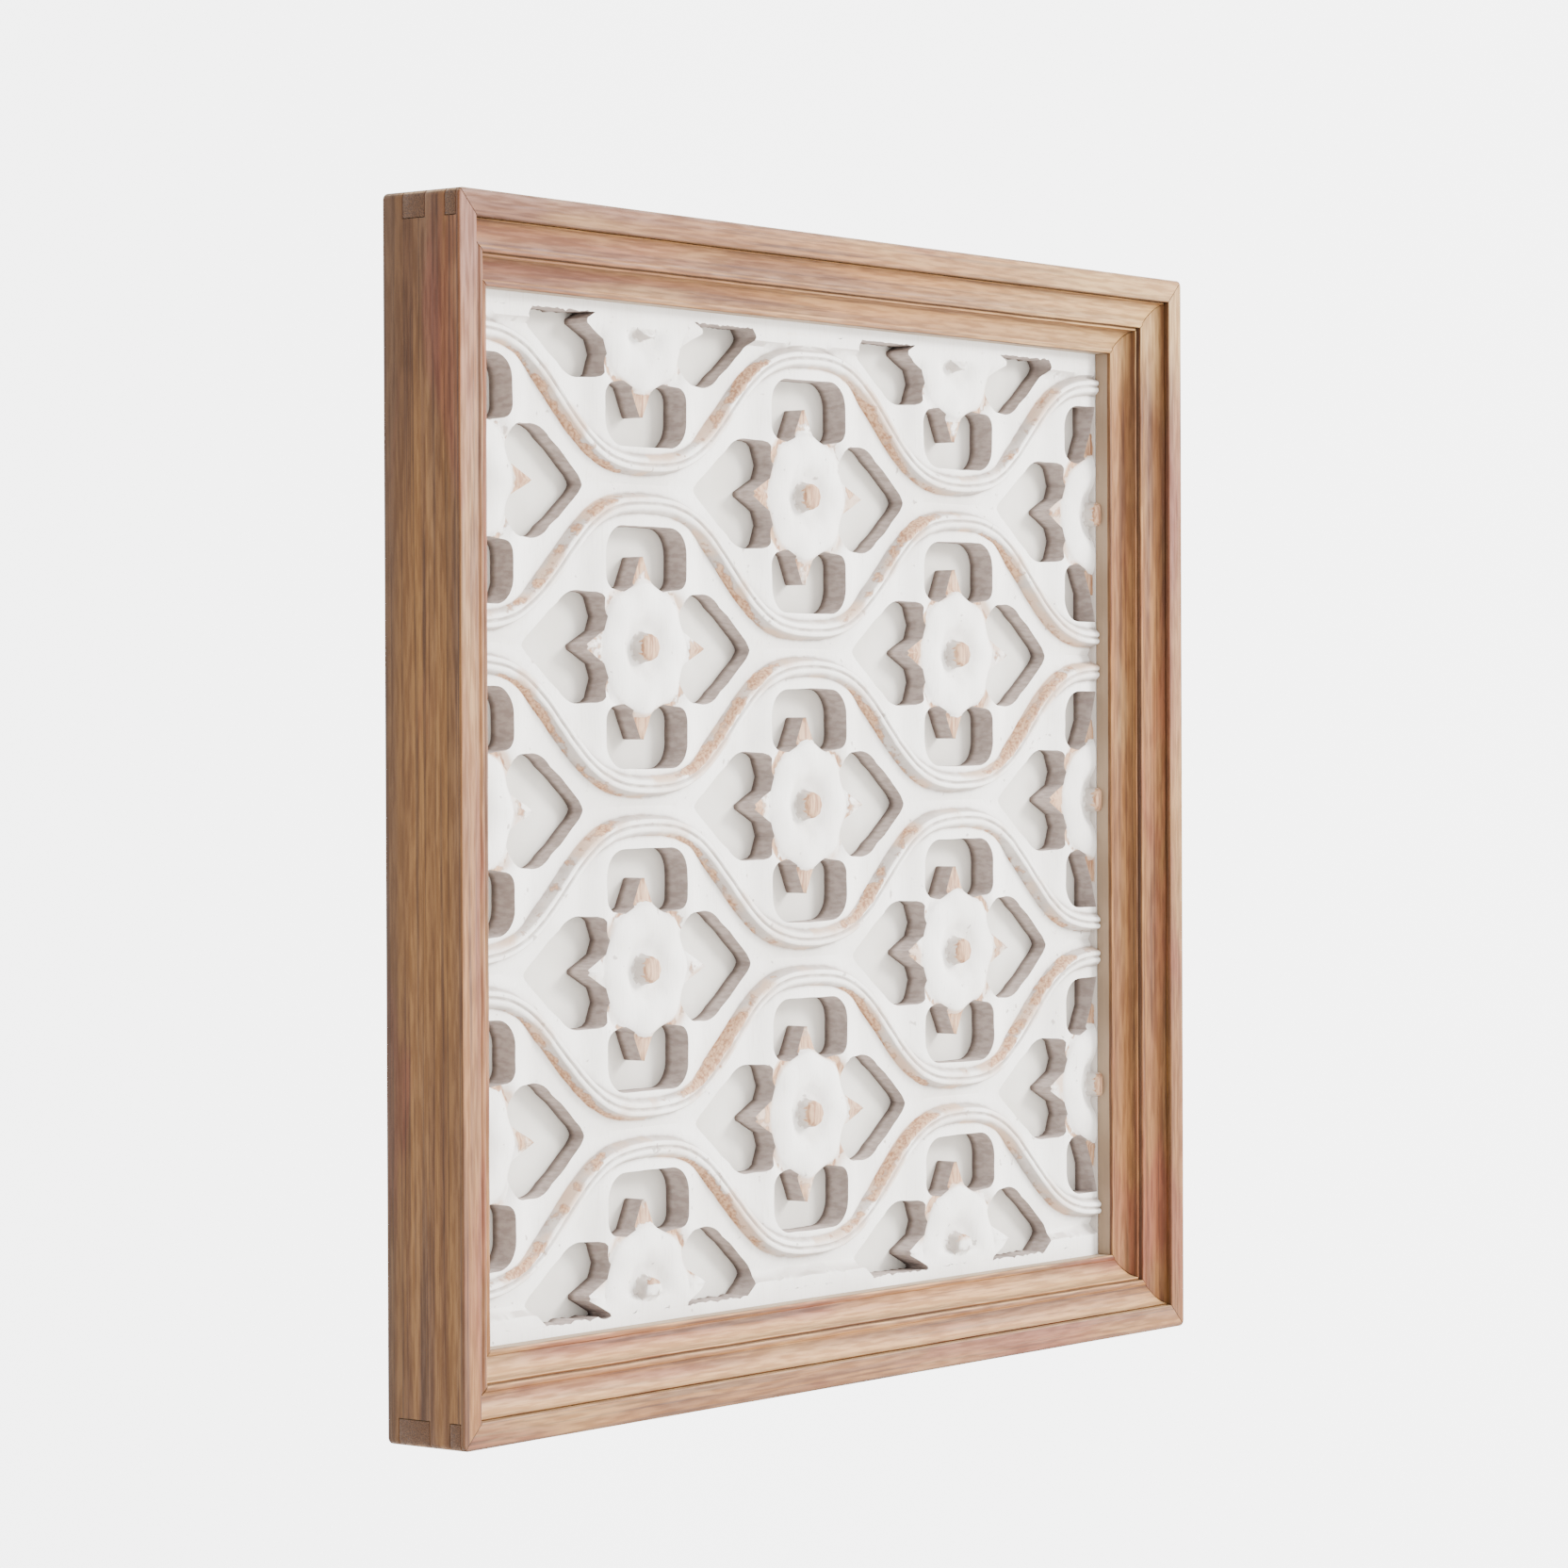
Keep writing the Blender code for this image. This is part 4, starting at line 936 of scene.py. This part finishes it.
def moulding_length(place, direction):
    """One length of the moulding, drawn upright in mm and then turned to its side of the frame."""
    upright = direction == "upright"
    toward = {"top": 1, "right": 1, "bottom": -1, "left": -1}[place]
    half_long, half_short = (HALF_HEIGHT, HALF_WIDTH) if upright else (HALF_WIDTH, HALF_HEIGHT)
    bm = bmesh.new()
    groove_shade_and_dirt = bm.verts.layers.float.new("groove_shade_and_dirt")
    wash = bm.verts.layers.float.new("wash")
    ring = []
    for across, depth, dark, white in SECTION:
        inset = MOULDING_START + across
        vert = bm.verts.new((inset, depth, -(half_long - inset - MITRE_GAP)))
        vert[groove_shade_and_dirt], vert[wash] = dark, white
        ring.append(vert)
    end = bm.faces.new(ring)
    made = bmesh.ops.extrude_face_region(bm, geom=[end], use_keep_orig=True)["geom"]
    for item in made:
        if isinstance(item, bmesh.types.BMVert):
            item.co.z = -item.co.z
    runs = [edge for edge in bm.edges if abs(edge.verts[0].co.z - edge.verts[1].co.z) > 100]
    bmesh.ops.subdivide_edges(bm, edges=runs, cuts=STRETCHES, use_grid_fill=True)
    for vert in bm.verts:
        inset, depth, length = vert.co
        if inset > STILL_OUT and depth < STILL_BACK:
            step = wander(Vector((inset, depth, length + 700 * toward + 300 * upright)), WANDER, 5)
            vert.co += Vector((step.x * (inset < STILL_IN), step.y, 0))
        out, along = toward * (half_short - vert.co.x), vert.co.z
        sideways, up = (out, along) if upright else (along, out)
        vert.co = Vector((sideways, vert.co.y + FRONT_Y, up + FRAME_MIDDLE))
    bmesh.ops.scale(bm, vec=(MM, MM, MM), verts=bm.verts)
    bmesh.ops.recalc_face_normals(bm, faces=bm.faces)
    print(place, "moulding, open edges:", sum(not edge.is_manifold for edge in bm.edges))
    piece = finish_mesh(bm, "shaped_moulding_" + place, WOOD[direction], sharp=35)
    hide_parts("moulding_" + place)


for place, direction in SIDES.items():
    moulding_length(place, direction)

# %% [markdown]
# ## White board behind the openings
#
# A thin painted board closes the back. One sees it only through the openings, as a plain matt white with
# the faint roller marks and grey clouds of cheap paint. The solid board has the right shape, so it stays,
# and only its finish is made here.

# %% Matt white paint
def board_paint(name):
    """Rolled paint: grey clouds about 30 mm across and a stipple about 1 mm wide."""
    material, tree, shader = new_finish(name)
    place = add(tree, "ShaderNodeTexCoord", {}, "Object")
    clouds = add(tree, NOISE, {"Vector": place, "Scale": 30.0, "Detail": 5.0})
    stipple = add(tree, NOISE, {"Vector": place, "Scale": 900.0, "Detail": 2.0})
    share = add(tree, RANGE, {0: clouds, 1: 0.35, 2: 0.65})
    paint = add(tree, MIX, {0: share, 6: colour("DAD6CE"), 7: colour("CDC8BF")}, **OVER)
    tree.links.new(paint, shader.inputs["Base Color"])
    shader.inputs["Roughness"].default_value = 0.85
    bumps = add(tree, "ShaderNodeBump", {"Height": stipple, "Strength": 0.25, "Distance": 0.0002})
    tree.links.new(bumps, shader.inputs["Normal"])
    print(name, "nodes:", len(tree.nodes))
    return material


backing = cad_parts["backing_board"].data
backing.materials.clear()
backing.materials.append(board_paint("matt white paint on thin board"))

# %% [markdown]
# ## Light and floor
#
# The light comes from the right, in front and above, and leaves every cut face that looks left in shade.
# A pale world that is brighter on the right gives most of it, softly, and one large round lamp adds gentle
# shadows. The panel hangs, so the floor is well below it.

# %% Studio
world = bpy.data.worlds.new("pale studio")
bpy.context.scene.world = world
world.use_nodes = True
sky = world.node_tree
way = add(sky, "ShaderNodeTexCoord", {}, "Generated")
sideways = add(sky, SPLIT, {0: way}, "X")
strength = add(sky, RANGE, {0: sideways, 1: -1.0, 2: 1.0, 3: 0.75, 4: 6.3})
sky.nodes["Background"].inputs["Color"].default_value = (1, 1, 1, 1)
sky.links.new(strength, sky.nodes["Background"].inputs["Strength"])

LAMP_AIM = Vector((0, 0, -0.28))
key = bpy.data.objects.new("key", bpy.data.lights.new("key", "AREA"))
key.data.shape = "DISK"
key.data.size = 0.9
key.data.energy = 160
key.location = (1.6, -2.2, 0.9)
key.rotation_euler = (LAMP_AIM - key.location).to_track_quat("-Z", "Y").to_euler()
bpy.context.scene.collection.objects.link(key)
print("lamp to panel, m:", round((key.location - (cad_low + cad_high) / 2).length, 2))

# %% Floor
# A wide disc of smooth plaster, with soft clouds half a metre across.
FLOOR_RADIUS = 3.0
FLOOR_Z = -1.5
floor_mesh = bmesh.new()
bmesh.ops.create_circle(floor_mesh, cap_ends=True, radius=FLOOR_RADIUS, segments=96)
bmesh.ops.translate(floor_mesh, vec=(0, 0, FLOOR_Z), verts=floor_mesh.verts)
floor_data = bpy.data.meshes.new("floor")
floor_mesh.to_mesh(floor_data)
floor_mesh.free()
floor = bpy.data.objects.new("floor", floor_data)
bpy.context.scene.collection.objects.link(floor)
material, tree, shader = new_finish("pale floor plaster")
place = add(tree, "ShaderNodeTexCoord", {}, "Object")
clouds = add(tree, NOISE, {"Vector": place, "Scale": 2.0, "Detail": 4.0})
floor_paint = add(tree, MIX, {0: clouds, 6: colour("E6E4E0"), 7: colour("DEDCD8")}, **OVER)
tree.links.new(floor_paint, shader.inputs["Base Color"])
shader.inputs["Roughness"].default_value = 0.8
floor_data.materials.append(material)
print("floor below the panel, m:", round(cad_low.z - FLOOR_Z, 2))
